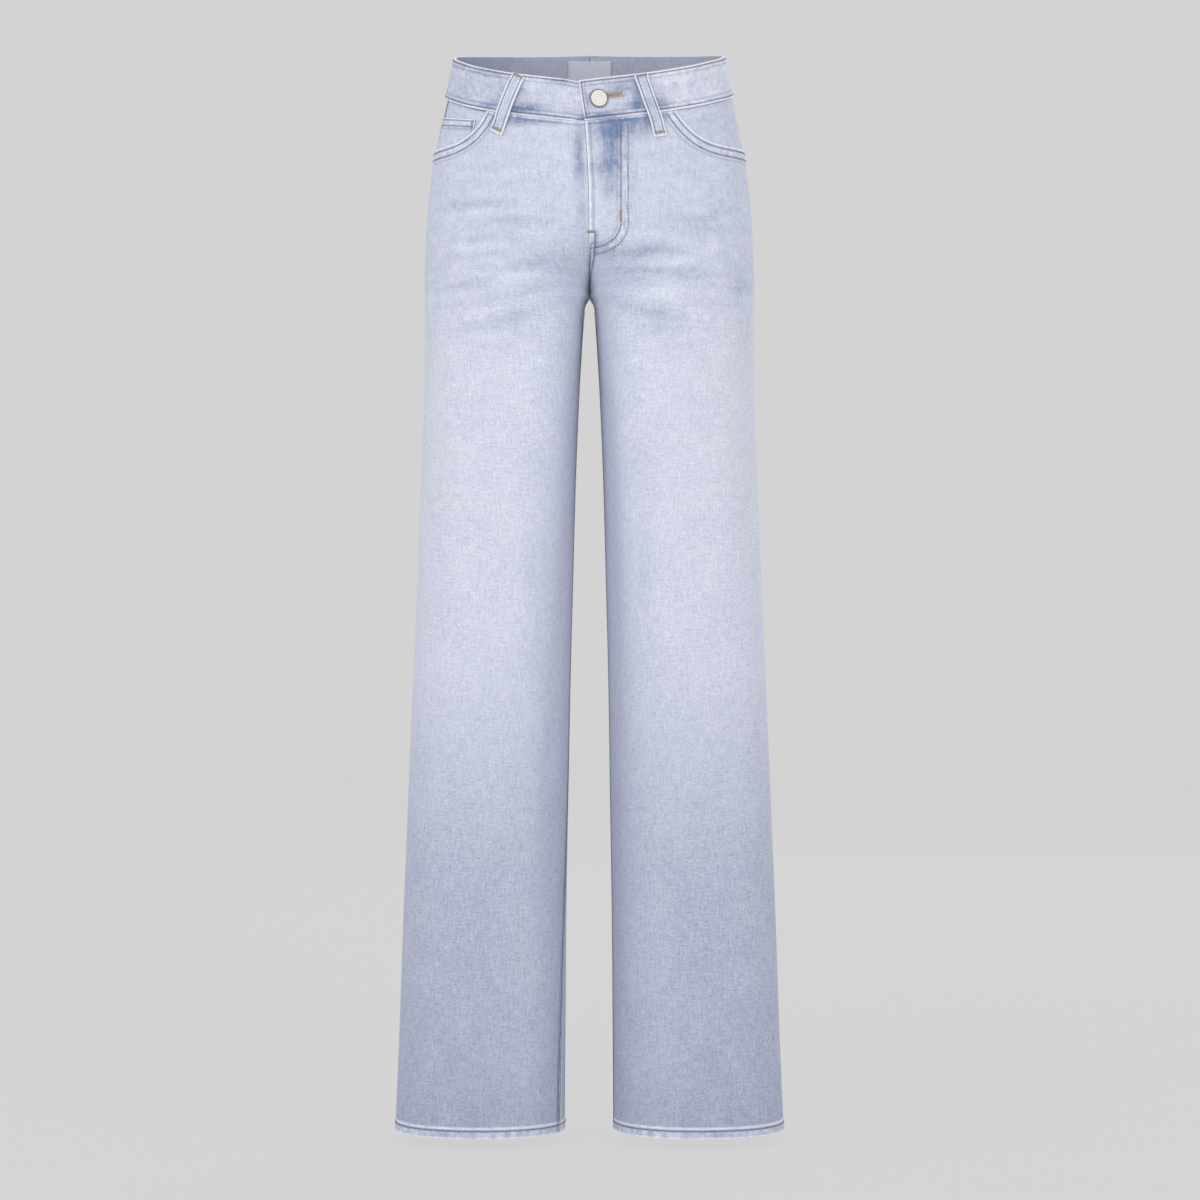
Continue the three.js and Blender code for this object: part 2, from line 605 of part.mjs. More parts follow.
// A belt loop stands off the waistband between its two sewn ends
const LOOP_STEPS = [
  { share: 0, under: BAND_OUTER + LAYER, thick: 2.6 },
  { share: 0.07, under: BAND_OUTER + LAYER + 0.1, thick: 2.5 },
  { share: 0.17, under: 3.7, thick: 1.6 },
  { share: 0.36, under: 4.3, thick: 1.6 },
  { share: 0.56, under: 4.2, thick: 1.6 },
  { share: 0.74, under: 3.5, thick: 1.6 },
  { share: 0.87, under: 1.5, thick: 1.9 },
  { share: 0.93, under: LAYER + 0.1, thick: 2.5 },
  { share: 1, under: LAYER + 0.1, thick: 2.5 },
];

function beltLoop(loop) {
  const spot = (mm, z) => {
    if (loop.from === "front") return { ...fromFly(loop.side * mm, z), side: loop.side };
    return fromBack(loop.side, mm, z);
  };
  const topZ = (mm) => bandTop(loop.side, spot(mm, 0).turn);
  const foot = topZ(loop.foot) - BAND_HEIGHT - LOOP_BELOW;
  const run = new THREE.Vector2(loop.foot - loop.top, foot - topZ(loop.top));
  const across = new THREE.Vector2(-run.y, run.x).normalize();
  const grid = LOOP_STEPS.map((step) =>
    spread(2, -0.5, 0.5).map((w) => {
      const mm = loop.top + run.x * step.share + across.x * w * LOOP_WIDTH;
      return spot(mm, topZ(loop.top) + run.y * step.share + across.y * w * LOOP_WIDTH);
    }),
  );
  const outer = (i) => LOOP_STEPS[i].under + LOOP_STEPS[i].thick;
  return wall(loop.name, loop.side, grid, outer, (i) => LOOP_STEPS[i].under);
}

// The loop over the centre back seam lies on both halves
function backLoop() {
  const top = bandTop(1, Math.PI / 2);
  const foot = top - BAND_HEIGHT - LOOP_BELOW;
  const grid = LOOP_STEPS.map((step) =>
    spread(2, -0.5, 0.5).map((w) => {
      const side = w < 0 ? -1 : 1;
      return fromBack(side, Math.abs(w) * LOOP_WIDTH, top + (foot - top) * step.share);
    }),
  );
  const outer = (i) => LOOP_STEPS[i].under + LOOP_STEPS[i].thick;
  return wall("belt_loop_back", 1, grid, outer, (i) => LOOP_STEPS[i].under);
}

// Patch pocket: straight sides that draw in to a pointed foot. It is laid out from its own middle line,
// which starts at PATCH.middle and leans outwards.
function patchPocket(name, side) {
  const lean = Math.tan(rad(PATCH.lean));
  const spotAt = (out, down) => {
    const z = PATCH.top - down + lean * out;
    return { turn: walk(side, turnAtX(z, PATCH.middle + lean * down, 1), z, -out), z };
  };
  const corners = [
    { out: -PATCH.width / 2, down: 0 },
    { out: -PATCH.foot / 2, down: PATCH.tall },
    { out: 0, down: PATCH.tall + PATCH.point },
    { out: PATCH.foot / 2, down: PATCH.tall },
    { out: PATCH.width / 2, down: 0 },
  ];
  const outline = corners.flatMap((corner, i) => {
    const next = corners[(i + 1) % corners.length];
    return spread(6).slice(0, -1).map((v) => {
      const out = corner.out + (next.out - corner.out) * v;
      const down = corner.down + (next.down - corner.down) * v;
      const spot = spotAt(out, down);
      const point = place(side, spot.turn, spot.z, LAYER);
      return { x: point.x, z: point.z };
    });
  });
  const grid = panelGrid(side, 1, backColumns(), (u) => yokeSeam(u) - SEAM / 2, 2);
  const above = grid.slice(LEVEL_ROWS.indexOf(PATCH_LOWEST_ROW));
  return trimmed(wall(name, side, above, LAYER + CLOTH, LAYER), outline, 1);
}

function backLabel() {
  const top = bandTop(1, Math.PI / 2) - LABEL.below;
  const grid = spread(3).map((v) =>
    spread(4, -0.5, 0.5).map((w) => {
      const side = w < 0 ? -1 : 1;
      return fromBack(side, Math.abs(w) * LABEL.width, top - LABEL.tall * v);
    }),
  );
  return wall("back_label", 1, grid, BAND_INNER - LAYER, BAND_INNER - LAYER - THIN, 0xc4c6cf);
}

// Shank button: it stands on the under waistband and its neck comes up through the buttonhole
function shankButton() {
  const neck = 2.4;
  const headFoot = UNDER_DROP + 1.3;
  const profile = [
    [0, 0],
    [neck, 0],
    [neck, headFoot],
    [BUTTON.radius - 1.2, headFoot],
    [BUTTON.radius, headFoot + 0.9],
    [BUTTON.radius, headFoot + 1.7],
    [BUTTON.radius - 0.7, headFoot + 2.4],
    [BUTTON.radius - 1.5, headFoot + 2.3],
    [0, headFoot + 2.7],
  ].map(([r, up]) => new THREE.Vector2(r, up));
  const metal = new THREE.MeshStandardMaterial({ color: 0xe4e3dd, roughness: 0.4, metalness: 0.4 });
  const mesh = new THREE.Mesh(new THREE.LatheGeometry(profile, 36), metal);
  mesh.name = "shank_button";
  const turn = turnAtX(BUTTON.z, BUTTON.x, -1);
  const stand = BAND_OUTER - UNDER_DROP + LAYER;
  mesh.position.copy(place(1, turn, BUTTON.z, stand));
  const outward = halfNormal(1, turn, BUTTON.z).applyAxisAngle(new THREE.Vector3(0, 0, 1), -rad(BUTTON.lean));
  mesh.quaternion.setFromUnitVectors(new THREE.Vector3(0, 1, 0), outward);
  return mesh;
}

// A keyhole cut right through the upper waistband
function withKeyhole(mesh) {
  const reach = Math.sqrt(HOLE.eyelet ** 2 - HOLE.slot ** 2);
  const open = Math.atan2(HOLE.slot, reach);
  const eyelet = spread(18, open, 2 * Math.PI - open).map((turn) => ({
    x: HOLE.from + HOLE.eyelet * Math.cos(turn),
    z: BUTTON.z + HOLE.eyelet * Math.sin(turn),
  }));
  const end = spread(6, -Math.PI / 2, Math.PI / 2).map((turn) => ({
    x: HOLE.end + HOLE.slot * Math.cos(turn),
    z: BUTTON.z + HOLE.slot * Math.sin(turn),
  }));
  return solidFrom(manifoldOf(mesh).subtract(prism([...eyelet, ...end], -200, 0)), mesh.name);
}

const jeans = new THREE.Group();
const halves = [
  { word: "left", side: 1 },
  { word: "right", side: -1 },
];
for (const { word, side } of halves) {
  jeans.add(frontPanel("front_" + word, side));
  jeans.add(backPanel("back_" + word, side));
  jeans.add(yoke("yoke_" + word, side));
  jeans.add(patchPocket("back_pocket_" + word, side));
  jeans.add(behindMouth("pocket_facing_" + word, side, FACING, facingOuter(side), BLUE));
  jeans.add(behindMouth("pocket_bag_" + word, side, BAG, bagOuter(side), 0xe6e6e2));
}
jeans.add(coinPocket("coin_pocket", -1));
jeans.add(flyFacing(), zipTape(), flyShield());
jeans.add(withKeyhole(band("waistband_left", 1, BAND_NEAR.left)));
jeans.add(band("waistband_right", -1, BAND_NEAR.right));
for (const loop of LOOPS) jeans.add(beltLoop(loop));
jeans.add(backLoop());
jeans.add(backLabel());
jeans.add(shankButton());

export default jeans;
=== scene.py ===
"""Wide-leg five-pocket jeans in light-washed denim, filled out as worn with nobody in them.

Metres in Blender, millimetres in the tables. The front faces -Y, and +X is the wearer's left.
"""

import math

import bmesh
import bpy
import numpy as np
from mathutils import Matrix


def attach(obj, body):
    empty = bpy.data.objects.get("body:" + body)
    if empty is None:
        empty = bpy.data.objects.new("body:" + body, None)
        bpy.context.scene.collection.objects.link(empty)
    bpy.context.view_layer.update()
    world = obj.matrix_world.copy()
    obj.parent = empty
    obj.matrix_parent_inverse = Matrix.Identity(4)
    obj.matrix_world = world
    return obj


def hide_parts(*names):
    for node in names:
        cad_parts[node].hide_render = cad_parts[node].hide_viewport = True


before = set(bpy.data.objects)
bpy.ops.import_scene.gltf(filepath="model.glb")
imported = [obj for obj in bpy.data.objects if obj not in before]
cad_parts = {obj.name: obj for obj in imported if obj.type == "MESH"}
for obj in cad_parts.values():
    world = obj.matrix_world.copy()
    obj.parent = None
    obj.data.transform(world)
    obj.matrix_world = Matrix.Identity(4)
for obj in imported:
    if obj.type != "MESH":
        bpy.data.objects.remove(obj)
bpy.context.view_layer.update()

# Front legs
# Two panels of light-washed denim twill. Each has the pocket mouth cut out of its upper corner, a fly
# edge and rise, an inseam, a side seam and a narrow turned-up hem. Soft wear folds run down the legs.

MM = 0.001
# The thickness of the denim and of thinner cloth, the gaps between joined pieces and between layers,
# and how far the marks of an edge reach
CLOTH = 1.2
THIN = 1.0
SEAM = 0.3
LAYER = 0.45
FAR = 40.0
HEM_Z = -1047.5
HEM_TURN_UP = 9.0
CROTCH_Z = -218.0
CROTCH_RISE = 96.0
BAND_HEIGHT = 40.5
LEVEL_TOP = -112.0
SIDE_SEAM = math.radians(5)
INSEAM_TWIST = math.radians(21)
INSEAM_TWIST_TOP = -470.0
FRONT_TWIST = 4.2

# height, half width over both legs, half the gap between them, place of the ridge, depth in front and
# behind, and how full the corners are on the outer and the inner side
SECTIONS = (
    (-1048, 194.0, 24.6, 108, 77, 78, 0.03, 0.03),
    (-960, 190.3, 24.0, 103, 78, 80, 0.032, 0.034),
    (-840, 186.0, 23.2, 95, 80, 83, 0.034, 0.04),
    (-720, 181.2, 21.4, 86, 83, 87, 0.036, 0.048),
    (-600, 176.2, 19.6, 78, 88, 91, 0.038, 0.056),
    (-480, 171.0, 16.6, 70, 94, 97, 0.04, 0.064),
    (-400, 168.0, 14.4, 66, 99, 103, 0.042, 0.068),
    (-320, 165.2, 11.2, 62, 104, 110, 0.043, 0.07),
    (-280, 164.5, 9.0, 60, 106, 115, 0.044, 0.07),
    (-250, 164.4, 7.0, 58.5, 107.5, 119, 0.045, 0.07),
    (-232, 164.4, 5.2, 57.5, 108.5, 122, 0.045, 0.07),
    (-223, 164.4, 3.2, 57, 108.8, 123, 0.045, 0.07),
    (-218, 164.5, 0.2, 57, 109, 124, 0.045, 0.07),
    (-200, 164.5, 0, 57, 109, 126, 0.045, 0.068),
    (-152, 163.0, 0, 57, 107.5, 129, 0.046, 0.055),
    (-120, 160.2, 0, 57, 105, 127, 0.046, 0.046),
    (-88, 156.8, 0, 57, 102, 122, 0.046, 0.046),
    (-64, 153.2, 0, 57, 99.5, 116.5, 0.042, 0.042),
    (-20, 143.2, 0, 57, 94.5, 105, 0.035, 0.035),
    (23, 134.2, 0, 57, 90, 95.5, 0.03, 0.03),
    (60, 127.0, 0, 57, 86, 88, 0.03, 0.03),
)
# degrees round from the centre front, height of the waistband's top edge
BAND_TOP = ((0, -14.5), (27, -5.5), (47, 4.0), (62, 12.0), (90, 23.5), (135, 34.0), (180, 39.0))
# height, place of the fly edge
FLY_EDGE = ((-148, 0), (-112, -0.8), (-57, -4.2), (-35, -7.6), (-14, -10.4))
# side, turn, height, lean, half length, width, how far it stands out or goes in
FOLDS = (
    (-1, -110, -590, 3, 330, 19, 2.4),
    (-1, -140, -600, -2, 340, 17, -2.6),
    (-1, -62, -720, -4, 300, 26, -1.8),
    (-1, 74, -560, 5, 300, 22, -2.8),
    (-1, 112, -700, -3, 330, 24, 2.8),
    (-1, 148, -520, -7, 240, 18, -2.6),
    (-1, 118, -300, 74, 95, 13, -3.0),
    (-1, 126, -338, 66, 80, 12, 1.8),
    (1, -119, -560, -3, 320, 18, 2.3),
    (1, -147, -540, 2, 330, 17, -2.6),
    (1, -56, -640, 4, 310, 25, -1.7),
    (1, 80, -640, -5, 320, 23, -2.8),
    (1, 116, -640, 4, 300, 24, 2.6),
    (1, 152, -560, 6, 260, 18, -2.4),
    (1, 122, -296, -72, 90, 13, -2.8),
    (1, 130, -330, -64, 85, 12, 1.9),
    (-1, 104, -252, 82, 60, 8, -1.1),
    (-1, 96, -704, 80, 70, 9, -1.3),
    (-1, 84, -742, 96, 60, 8, -1.0),
    (-1, -66, -990, 6, 70, 13, -1.3),
    (-1, -128, -960, -5, 90, 12, 1.0),
    (-1, 60, -980, 3, 80, 14, -1.4),
    (-1, -104, -300, 66, 62, 8, -0.8),
    (1, 98, -256, -80, 60, 8, -1.1),
    (1, 92, -690, -82, 70, 9, -1.3),
    (1, 80, -728, -98, 60, 8, -1.0),
    (1, -74, -1000, -6, 64, 12, -1.2),
    (1, -122, -940, 4, 90, 13, 1.1),
    (1, 66, -970, -4, 84, 14, -1.3),
    (1, -108, -306, -64, 60, 8, -0.8),
)
FOLD_RADIUS = 88.0
SEAM_CALM = 34.0
# Whiskers on the front: x and height of the middle, slope, bend, half length, width, and how much paler
# they are. The pale ones are worn, and the dark ones are painted shade in the creases where they sink in.
# WHISKER_RELIEF turns that into millimetres that they stand out.
WHISKERS = (
    (-86, -97, 0.0, 0.0, 56, 4.5, -0.06),
    (-80, -113, 0.02, 0.0, 60, 5, -0.07),
    (-106, -134, 0.0, 0.0005, 52, 5, -0.12),
    (-76, -152, 0.01, 0.0, 54, 4.5, -0.11),
    (-96, -168, 0.03, 0.0, 58, 4.5, -0.09),
    (-100, -185, 0.02, 0.0, 52, 4, -0.07),
    (-56, -194, 0.15, 0.0, 40, 4.5, -0.16),
    (-118, -213, 0.05, 0.0, 36, 5, -0.1),
    (-70, -224, 0.18, 0.0, 50, 5, -0.1),
    (-84, -248, 0.22, 0.0005, 62, 8, -0.13),
    (-90, -143, 0.0, 0.0, 50, 4, 0.05),
    (-100, -177, 0.02, 0.0, 50, 4, 0.05),
    (-74, -207, 0.14, 0.0, 50, 5, 0.06),
    (-80, -236, 0.2, 0.0, 50, 5, 0.06),
    (84, -106, 0.05, 0.0, 46, 5, -0.05),
    (108, -148, 0.24, 0.0, 48, 6, -0.11),
    (112, -160, 0.06, 0.0, 40, 6, -0.08),
    (62, -181, 0.06, -0.0016, 44, 5.5, -0.18),
    (88, -203, -0.04, 0.001, 64, 5, -0.14),
    (66, -243, -0.17, 0.0005, 56, 5.5, -0.15),
    (74, -258, -0.2, 0.0, 44, 6, -0.07),
    (70, -192, 0.02, -0.0008, 48, 4.5, 0.07),
    (62, -221, -0.1, 0.0005, 50, 8, 0.09),
    (148, -214, 0.4, 0.0, 16, 12, -0.12),
)
WHISKER_RELIEF = 5.0


def smooth(x):
    x = np.clip(x, 0, 1)
    return x * x * (3 - 2 * x)


def read(rows, at, column=1):
    """A column of a table at a height or an angle, on a smooth curve through its rows."""
    table = np.array(sorted(rows), dtype=float)
    keys, values = table[:, 0], table[:, column]
    slopes = np.empty(len(keys))
    slopes[1:-1] = (values[2:] - values[:-2]) / (keys[2:] - keys[:-2])
    slopes[0] = (values[1] - values[0]) / (keys[1] - keys[0])
    slopes[-1] = (values[-1] - values[-2]) / (keys[-1] - keys[-2])
    at = np.clip(at, keys[0], keys[-1])
    i = np.clip(np.searchsorted(keys, at) - 1, 0, len(keys) - 2)
    width = keys[i + 1] - keys[i]
    s = (at - keys[i]) / width
    left = values[i] * (2 * s**3 - 3 * s**2 + 1) + slopes[i] * width * (s**3 - 2 * s**2 + s)
    right = values[i + 1] * (3 * s**2 - 2 * s**3) + slopes[i + 1] * width * (s**3 - s**2)
    return left + right


def oval(z):
    """The oval of one leg at a height. Above the crotch both ovals run together into the hips."""
    reach, gap, ridge, front, back, fill_out, fill_in = (read(SECTIONS, z, c) for c in range(1, 8))
    apart = 1 - smooth((z - CROTCH_Z) / CROTCH_RISE)
    joined = z >= CROTCH_Z
    inner = np.where(joined, reach + (ridge - reach) * apart, ridge - gap)
    centre = np.where(joined, inner * apart, ridge)
    return centre, reach - centre, inner, front, back, fill_out, fill_in


def oval_x(shape, turn):
    centre, outer, inner, _, _, fill_out, fill_in = shape
    inside = np.cos(turn) < 0
    full = 1 + np.where(inside, fill_in, fill_out) * np.sin(2 * turn) ** 2
    return centre + np.where(inside, inner, outer) * np.cos(turn) * full


def marks_at(rows, x, z):
    """Whisker marks at a place on the front: positive where worn pale,
    negative in creases, where shade is painted.
    """
    out = np.zeros(np.broadcast(x, z).shape)
    for x0, z0, slope, bend, half, wide, depth in rows:
        along = (x - x0) / half
        across = (z - z0 - slope * (x - x0) - bend * (x - x0) ** 2) / wide
        out += depth * np.where(np.abs(along) < 1, (1 - along * along) ** 2, 0) * np.exp(-across * across)
    return out


def fold_out(side, turn, z, x):
    """How far the folds stand out of the plain form, or go into it."""
    out = np.zeros(np.broadcast(turn, z).shape)
    for fold_side, at, height, lean, half, wide, deep in FOLDS:
        if np.ndim(side) == 0 and fold_side != side:
            continue
        apart = turn - math.radians(at)
        around = np.arctan2(np.sin(apart), np.cos(apart)) * FOLD_RADIUS
        up = z - height
        sine, cosine = math.sin(math.radians(lean)), math.cos(math.radians(lean))
        along = (around * sine + up * cosine) / half
        across = (around * cosine - up * sine) / wide
        shape = np.exp(-across * across) * (1 - along * along) ** 2
        out += np.where((np.abs(along) < 1) & (side == fold_side), deep * shape, 0)
    hips = smooth((z - CROTCH_Z + 34) / 34)
    calm = 1 - hips * (1 - smooth(np.abs(x) / SEAM_CALM))
    front = smooth(0.5 - np.sin(turn) * 1.6)
    return (out + WHISKER_RELIEF * marks_at(WHISKERS, side * x, z) * front) * calm


def half_cloth(side, turn, z):
    """Points of the wearer's left half. The right half is its mirror image, but for its folds."""
    turn, z = np.broadcast_arrays(np.asarray(turn, dtype=float), np.asarray(z, dtype=float))
    shape = oval(z)
    _, outer, inner, front, back, fill_out, fill_in = shape
    inside = np.cos(turn) < 0
    deep = np.where(np.sin(turn) < 0, front, back)
    half = np.where(inside, inner, outer)
    x = oval_x(shape, turn)
    y = deep * np.sin(turn) * (1 + np.where(inside, fill_in, fill_out) * np.sin(2 * turn) ** 2)
    out_x, out_y = np.cos(turn) / half, np.sin(turn) / deep
    size = np.hypot(out_x, out_y)
    out = fold_out(side, turn, z, x)
    return np.stack((x + out_x / size * out, y + out_y / size * out, z), axis=-1)


def place(side, turn, z, lift=0.0):
    """Points in metres and the directions out of the cloth there, lifted out by millimetres."""
    side = np.asarray(side)
    point = half_cloth(side, turn, z)
    around = half_cloth(side, turn + 0.01, z) - half_cloth(side, turn - 0.01, z)
    up = half_cloth(side, turn, z + 1) - half_cloth(side, turn, z - 1)
    out = np.cross(around, up)
    out = out / np.linalg.norm(out, axis=-1, keepdims=True)
    point = point + out * np.broadcast_to(np.asarray(lift, dtype=float), point.shape[:-1])[..., None]
    mirror = np.stack(np.broadcast_arrays(side, 1, 1), axis=-1)
    return point * mirror * MM, out * mirror


def walk(side, turn, z, distance):
    """The turn that is a distance along the cloth from another, at one height."""
    steps = 12
    for _ in range(steps):
        ends = half_cloth(side, turn + 0.005, z), half_cloth(side, turn - 0.005, z)
        turn = turn + distance / steps / (np.linalg.norm(ends[0] - ends[1], axis=-1) / 0.01)
    return turn


def turn_at_x(z, x, face):
    """The turn at which the half reaches x, on its front (-1) or its back (1)."""
    shape = oval(z)
    near, far = np.zeros(np.shape(z)), np.full(np.shape(z), math.pi)
    for _ in range(40):
        turn = (near + far) / 2
        short = oval_x(shape, turn) > x
        near, far = np.where(short, turn, near), np.where(short, far, turn)
    return face * (near + far) / 2


def fly_edge(z):
    return read(FLY_EDGE, z)


def inner_edge(side, z, face):
    """The turn of a half's inner edge: the fly edge and the rises, and the inseam below the crotch."""
    down = smooth((INSEAM_TWIST_TOP - z) / (INSEAM_TWIST_TOP - HEM_Z))
    twist = INSEAM_TWIST * down if side < 0 else 0 * down
    middle = side * fly_edge(z) if face < 0 else 0 * z
    above = turn_at_x(z, middle, face)
    turn = np.where(z < CROTCH_Z, face * math.pi + twist, above)
    return walk(side, turn, z, -face * SEAM / 2)


LEVELS = np.concatenate((
    np.arange(-1048, -262, 8.0), np.arange(-262, -219, 2.0), (-218.5, -218.01, -218, -217.7, -217.2, -216.5),
    np.arange(-215.5, -120, 1.5), np.arange(-120, 48, 4.0)))
SHARES = np.linspace(0, 1, 121)


class Stretch:
    """The cloth between the side seam and the inner edge of one half, at every height."""

    def __init__(self, side, face):
        z = LEVELS[:, None]
        side_turn = walk(side, SIDE_SEAM * np.ones_like(z), z, face * SEAM / 2)
        ends = (inner_edge(side, z, face), side_turn)
        start, end = ends if face < 0 else ends[::-1]
        turns = start + (end - start) * SHARES
        steps = np.linalg.norm(np.diff(half_cloth(side, turns, z), axis=1), axis=2)
        lengths = np.concatenate((np.zeros_like(z), np.cumsum(steps, axis=1)), axis=1)
        self.length = lengths[:, -1]
        hips = CROTCH_Z + CROTCH_RISE
        plain = np.where(LEVELS < hips, np.interp(hips, LEVELS, self.length), self.length)
        away = 1 - SHARES if face < 0 else SHARES
        point = smooth((LEVELS + 540) / (CROTCH_Z + 540))[:, None]
        extra = away + (away**4 - away) * point
        goal = away * plain[:, None] + (self.length - plain)[:, None] * extra
        self.away = goal
        goal = self.length[:, None] - goal if face < 0 else goal
        self.turns = np.array([np.interp(g, l, t) for g, l, t in zip(goal, lengths, turns)])

    def look(self, table, z, share):
        z, share = np.broadcast_arrays(np.asarray(z, dtype=float), np.asarray(share, dtype=float))
        row = np.clip(np.searchsorted(LEVELS, z) - 1, 0, len(LEVELS) - 2)
        up = np.clip((z - LEVELS[row]) / (LEVELS[row + 1] - LEVELS[row]), 0, 1)
        at = np.clip(share, 0, 1) * (len(SHARES) - 1)
        column = np.clip(at.astype(int), 0, len(SHARES) - 2)
        over = at - column
        low = table[row, column] * (1 - over) + table[row, column + 1] * over
        high = table[row + 1, column] * (1 - over) + table[row + 1, column + 1] * over
        return low * (1 - up) + high * up

    def turn(self, z, share):
        return self.look(self.turns, z, share)

    def from_side(self, z, share):
        return self.look(self.away, z, share)

    def width(self, z):
        return np.interp(z, LEVELS, self.length)


HALVES = (("right", -1), ("left", 1))
STRETCH = {(side, face): Stretch(side, face) for _, side in HALVES for face in (-1, 1)}


def band_top(side, turn):
    around = np.clip(np.degrees(turn) + 90, -60, 180)
    twisted = around + side * FRONT_TWIST * (1 - np.clip(around, 0, 180) / 180)
    return read(BAND_TOP, np.abs(twisted))


def under_band(side, face, share):
    """Height at which a panel meets the waistband."""
    z = -50.0 * np.ones(np.shape(share))
    for _ in range(12):
        z = band_top(side, STRETCH[side, face].turn(z, share)) - BAND_HEIGHT - SEAM
    return z


MOUTH_START = {-1: 99.0, 1: 93.0}
MOUTH_DROP, MOUTH_CURVE, MOUTH_CLIMB, MOUTH_LEVEL = 35.0, 16.0, 0.045, -50.0


def front_width(side):
    return float(STRETCH[side, -1].width(MOUTH_LEVEL))


def front_top(side, share):
    """The top edge of a front leg: the waistband's seam, and past its start the pocket mouth."""
    start = MOUTH_START[side] / front_width(side)
    past = np.maximum(share - start, 0) * front_width(side)
    mouth = float(under_band(side, -1, np.array(start)))
    mouth = mouth - MOUTH_DROP * (1 - np.exp(-past / MOUTH_CURVE)) + MOUTH_CLIMB * past
    return np.where(share <= start, under_band(side, -1, share), mouth)


def front_columns(side):
    start = MOUTH_START[side] / front_width(side)
    near = np.array((0, 0.004, 0.009, 0.016, 0.025, 0.036))
    past = start + (1 - start) * np.linspace(0, 1, 34) ** 1.35
    return np.concatenate((near, np.linspace(0.036, start, 22)[1:-1], past))


HEM_TOP = HEM_Z + HEM_TURN_UP
LEVEL_ROWS = np.concatenate((
    (HEM_Z, HEM_Z + 2, HEM_Z + 4.5, HEM_TOP - 1.6, HEM_TOP, HEM_TOP + 1, HEM_TOP + 4),
    np.linspace(HEM_TOP + 8, -264, 190), np.linspace(-261, -220, 18), (-218, -216.8, -215),
    np.linspace(-213, LEVEL_TOP, 42)))


def panel_grid(side, face, columns, top, rows=22):
    """Turns and heights of a panel's points, from its hem to its shaped top edge."""
    shaped = LEVEL_TOP + (top(columns)[None, :] - LEVEL_TOP) * np.linspace(0, 1, rows)[1:, None]
    heights = np.concatenate((np.repeat(LEVEL_ROWS[:, None], len(columns), axis=1), shaped))
    return STRETCH[side, face].turn(heights, columns[None, :]), heights


# How pale the wash has left the cloth, from 0 dark to 1 nearly white, down the legs
WASH = ((-1048, 0.28), (-1000, 0.34), (-900, 0.4), (-800, 0.43), (-690, 0.56), (-600, 0.68), (-520, 0.72),
        (-400, 0.74), (-300, 0.74), (-240, 0.7), (-180, 0.67), (-110, 0.68), (-50, 0.67), (40, 0.62))
# How much paler the inner side of each leg is than its outer side: painted shade on the inner side down
# the middle of the legs, and painted light on it near the hems
INNER_SIDE_SHADE = ((-1048, 0.05), (-820, 0.04), (-620, -0.06), (-480, -0.09), (-330, -0.04), (-218, 0.0), (-150, 0.0))
# Dark and pale places on the front: x, height, half width, half height, and how much paler they are.
# The dark ones are painted shadow under the waistband, beside the fly's ridge and the J, and beside the belt
# loops, mixed with darker patches of the wash. The pale one at the crotch is painted light against the
# shade between the legs.
SHADOW_AND_WASH_SPOTS = (
    (21, -86, 9, 26, -0.58), (20, -62, 20, 9, -0.5), (40, -96, 5, 34, -0.12), (-10, -86, 5, 26, -0.46),
    (-7, -148, 5, 28, -0.22), (12, -180, 14, 6, -0.3), (0, -232, 12, 46, 0.32), (28, -52, 30, 4, -0.42),
    (-42, -53, 32, 4, -0.34), (9, -138, 7, 30, 0.05), (-20, -100, 60, 26, 0.03), (-30, -198, 26, 24, -0.18),
    (36, -200, 26, 26, -0.24), (32, -21, 13, 8, -0.42), (46, -30, 4, 16, -0.45), (-58, -40, 11, 5, -0.4),
    (-26, -14, 12, 4, -0.25), (12, -50, 10, 4, -0.3), (-96, -2, 20, 5, -0.16), (70, -36, 9, 8, -0.3),
    (10, -100, 9, 9, -0.26), (45, -60, 13, 8, -0.32), (19, -122, 6, 13, -0.2), (44, -38, 14, 5, -0.3),
    (-70, -44, 5, 8, -0.36), (-66, -53, 12, 4, -0.26), (-95, -52, 5, 9, -0.22), (56, -54, 3, 14, -0.3),
    (-98, -35, 9, 6, -0.26), (-61, -43, 9, 4, -0.26), (-8, -104, 6, 8, -0.2),
)


# The tone of the cloth at a place: the wash with its whiskers and patches, and painted shade and light on the
# sides of the legs and in spots on the front.
def wash(turn, z, x):
    front = smooth(0.5 - np.sin(turn) * 1.6)
    leg = smooth((CROTCH_Z + 30 - z) / 120)
    inner = smooth((-np.cos(turn) + 0.12) / 0.62)
    # The inner side gets painted shade and light from its table, and the side towards the side seam a little
    # painted shade, where the leg turns away.
    tone = read(WASH, z) + read(INNER_SIDE_SHADE, z) * leg * inner - 0.03 * smooth((np.cos(turn) - 0.55) / 0.45)
    seat = np.exp(-((np.abs(x) - 80) / 60) ** 2 - ((z + 170) / 80) ** 2)
    tone = tone + (1 - front) * (0.06 * seat - 0.05)
    tone = tone + 1.25 * marks_at(WHISKERS, x, z) * front + 0.6 * marks_at(WHISKERS, -x, z + 26) * (1 - front)
    for x0, z0, wide, tall, paler in SHADOW_AND_WASH_SPOTS:
        tone = tone + paler * front * np.exp(-(((x - x0) / wide) ** 2) - ((z - z0) / tall) ** 2)
    return tone


def distance_to(points, path):
    """How far each point is from a line of points, in millimetres and up to FAR."""
    flat = points.reshape(-1, 3)
    best = np.full(len(flat), FAR)
    for start, end in zip(path[:-1], path[1:]):
        along = end - start
        t = np.clip((flat - start) @ along / (along @ along), 0, 1)
        best = np.minimum(best, np.linalg.norm(flat - start - t[:, None] * along, axis=1) / MM)
    return best.reshape(points.shape[:-1])


def as_mesh(bm, name):
    mesh = bpy.data.meshes.new(name)
    bm.to_mesh(mesh)
    bm.free()
    return mesh


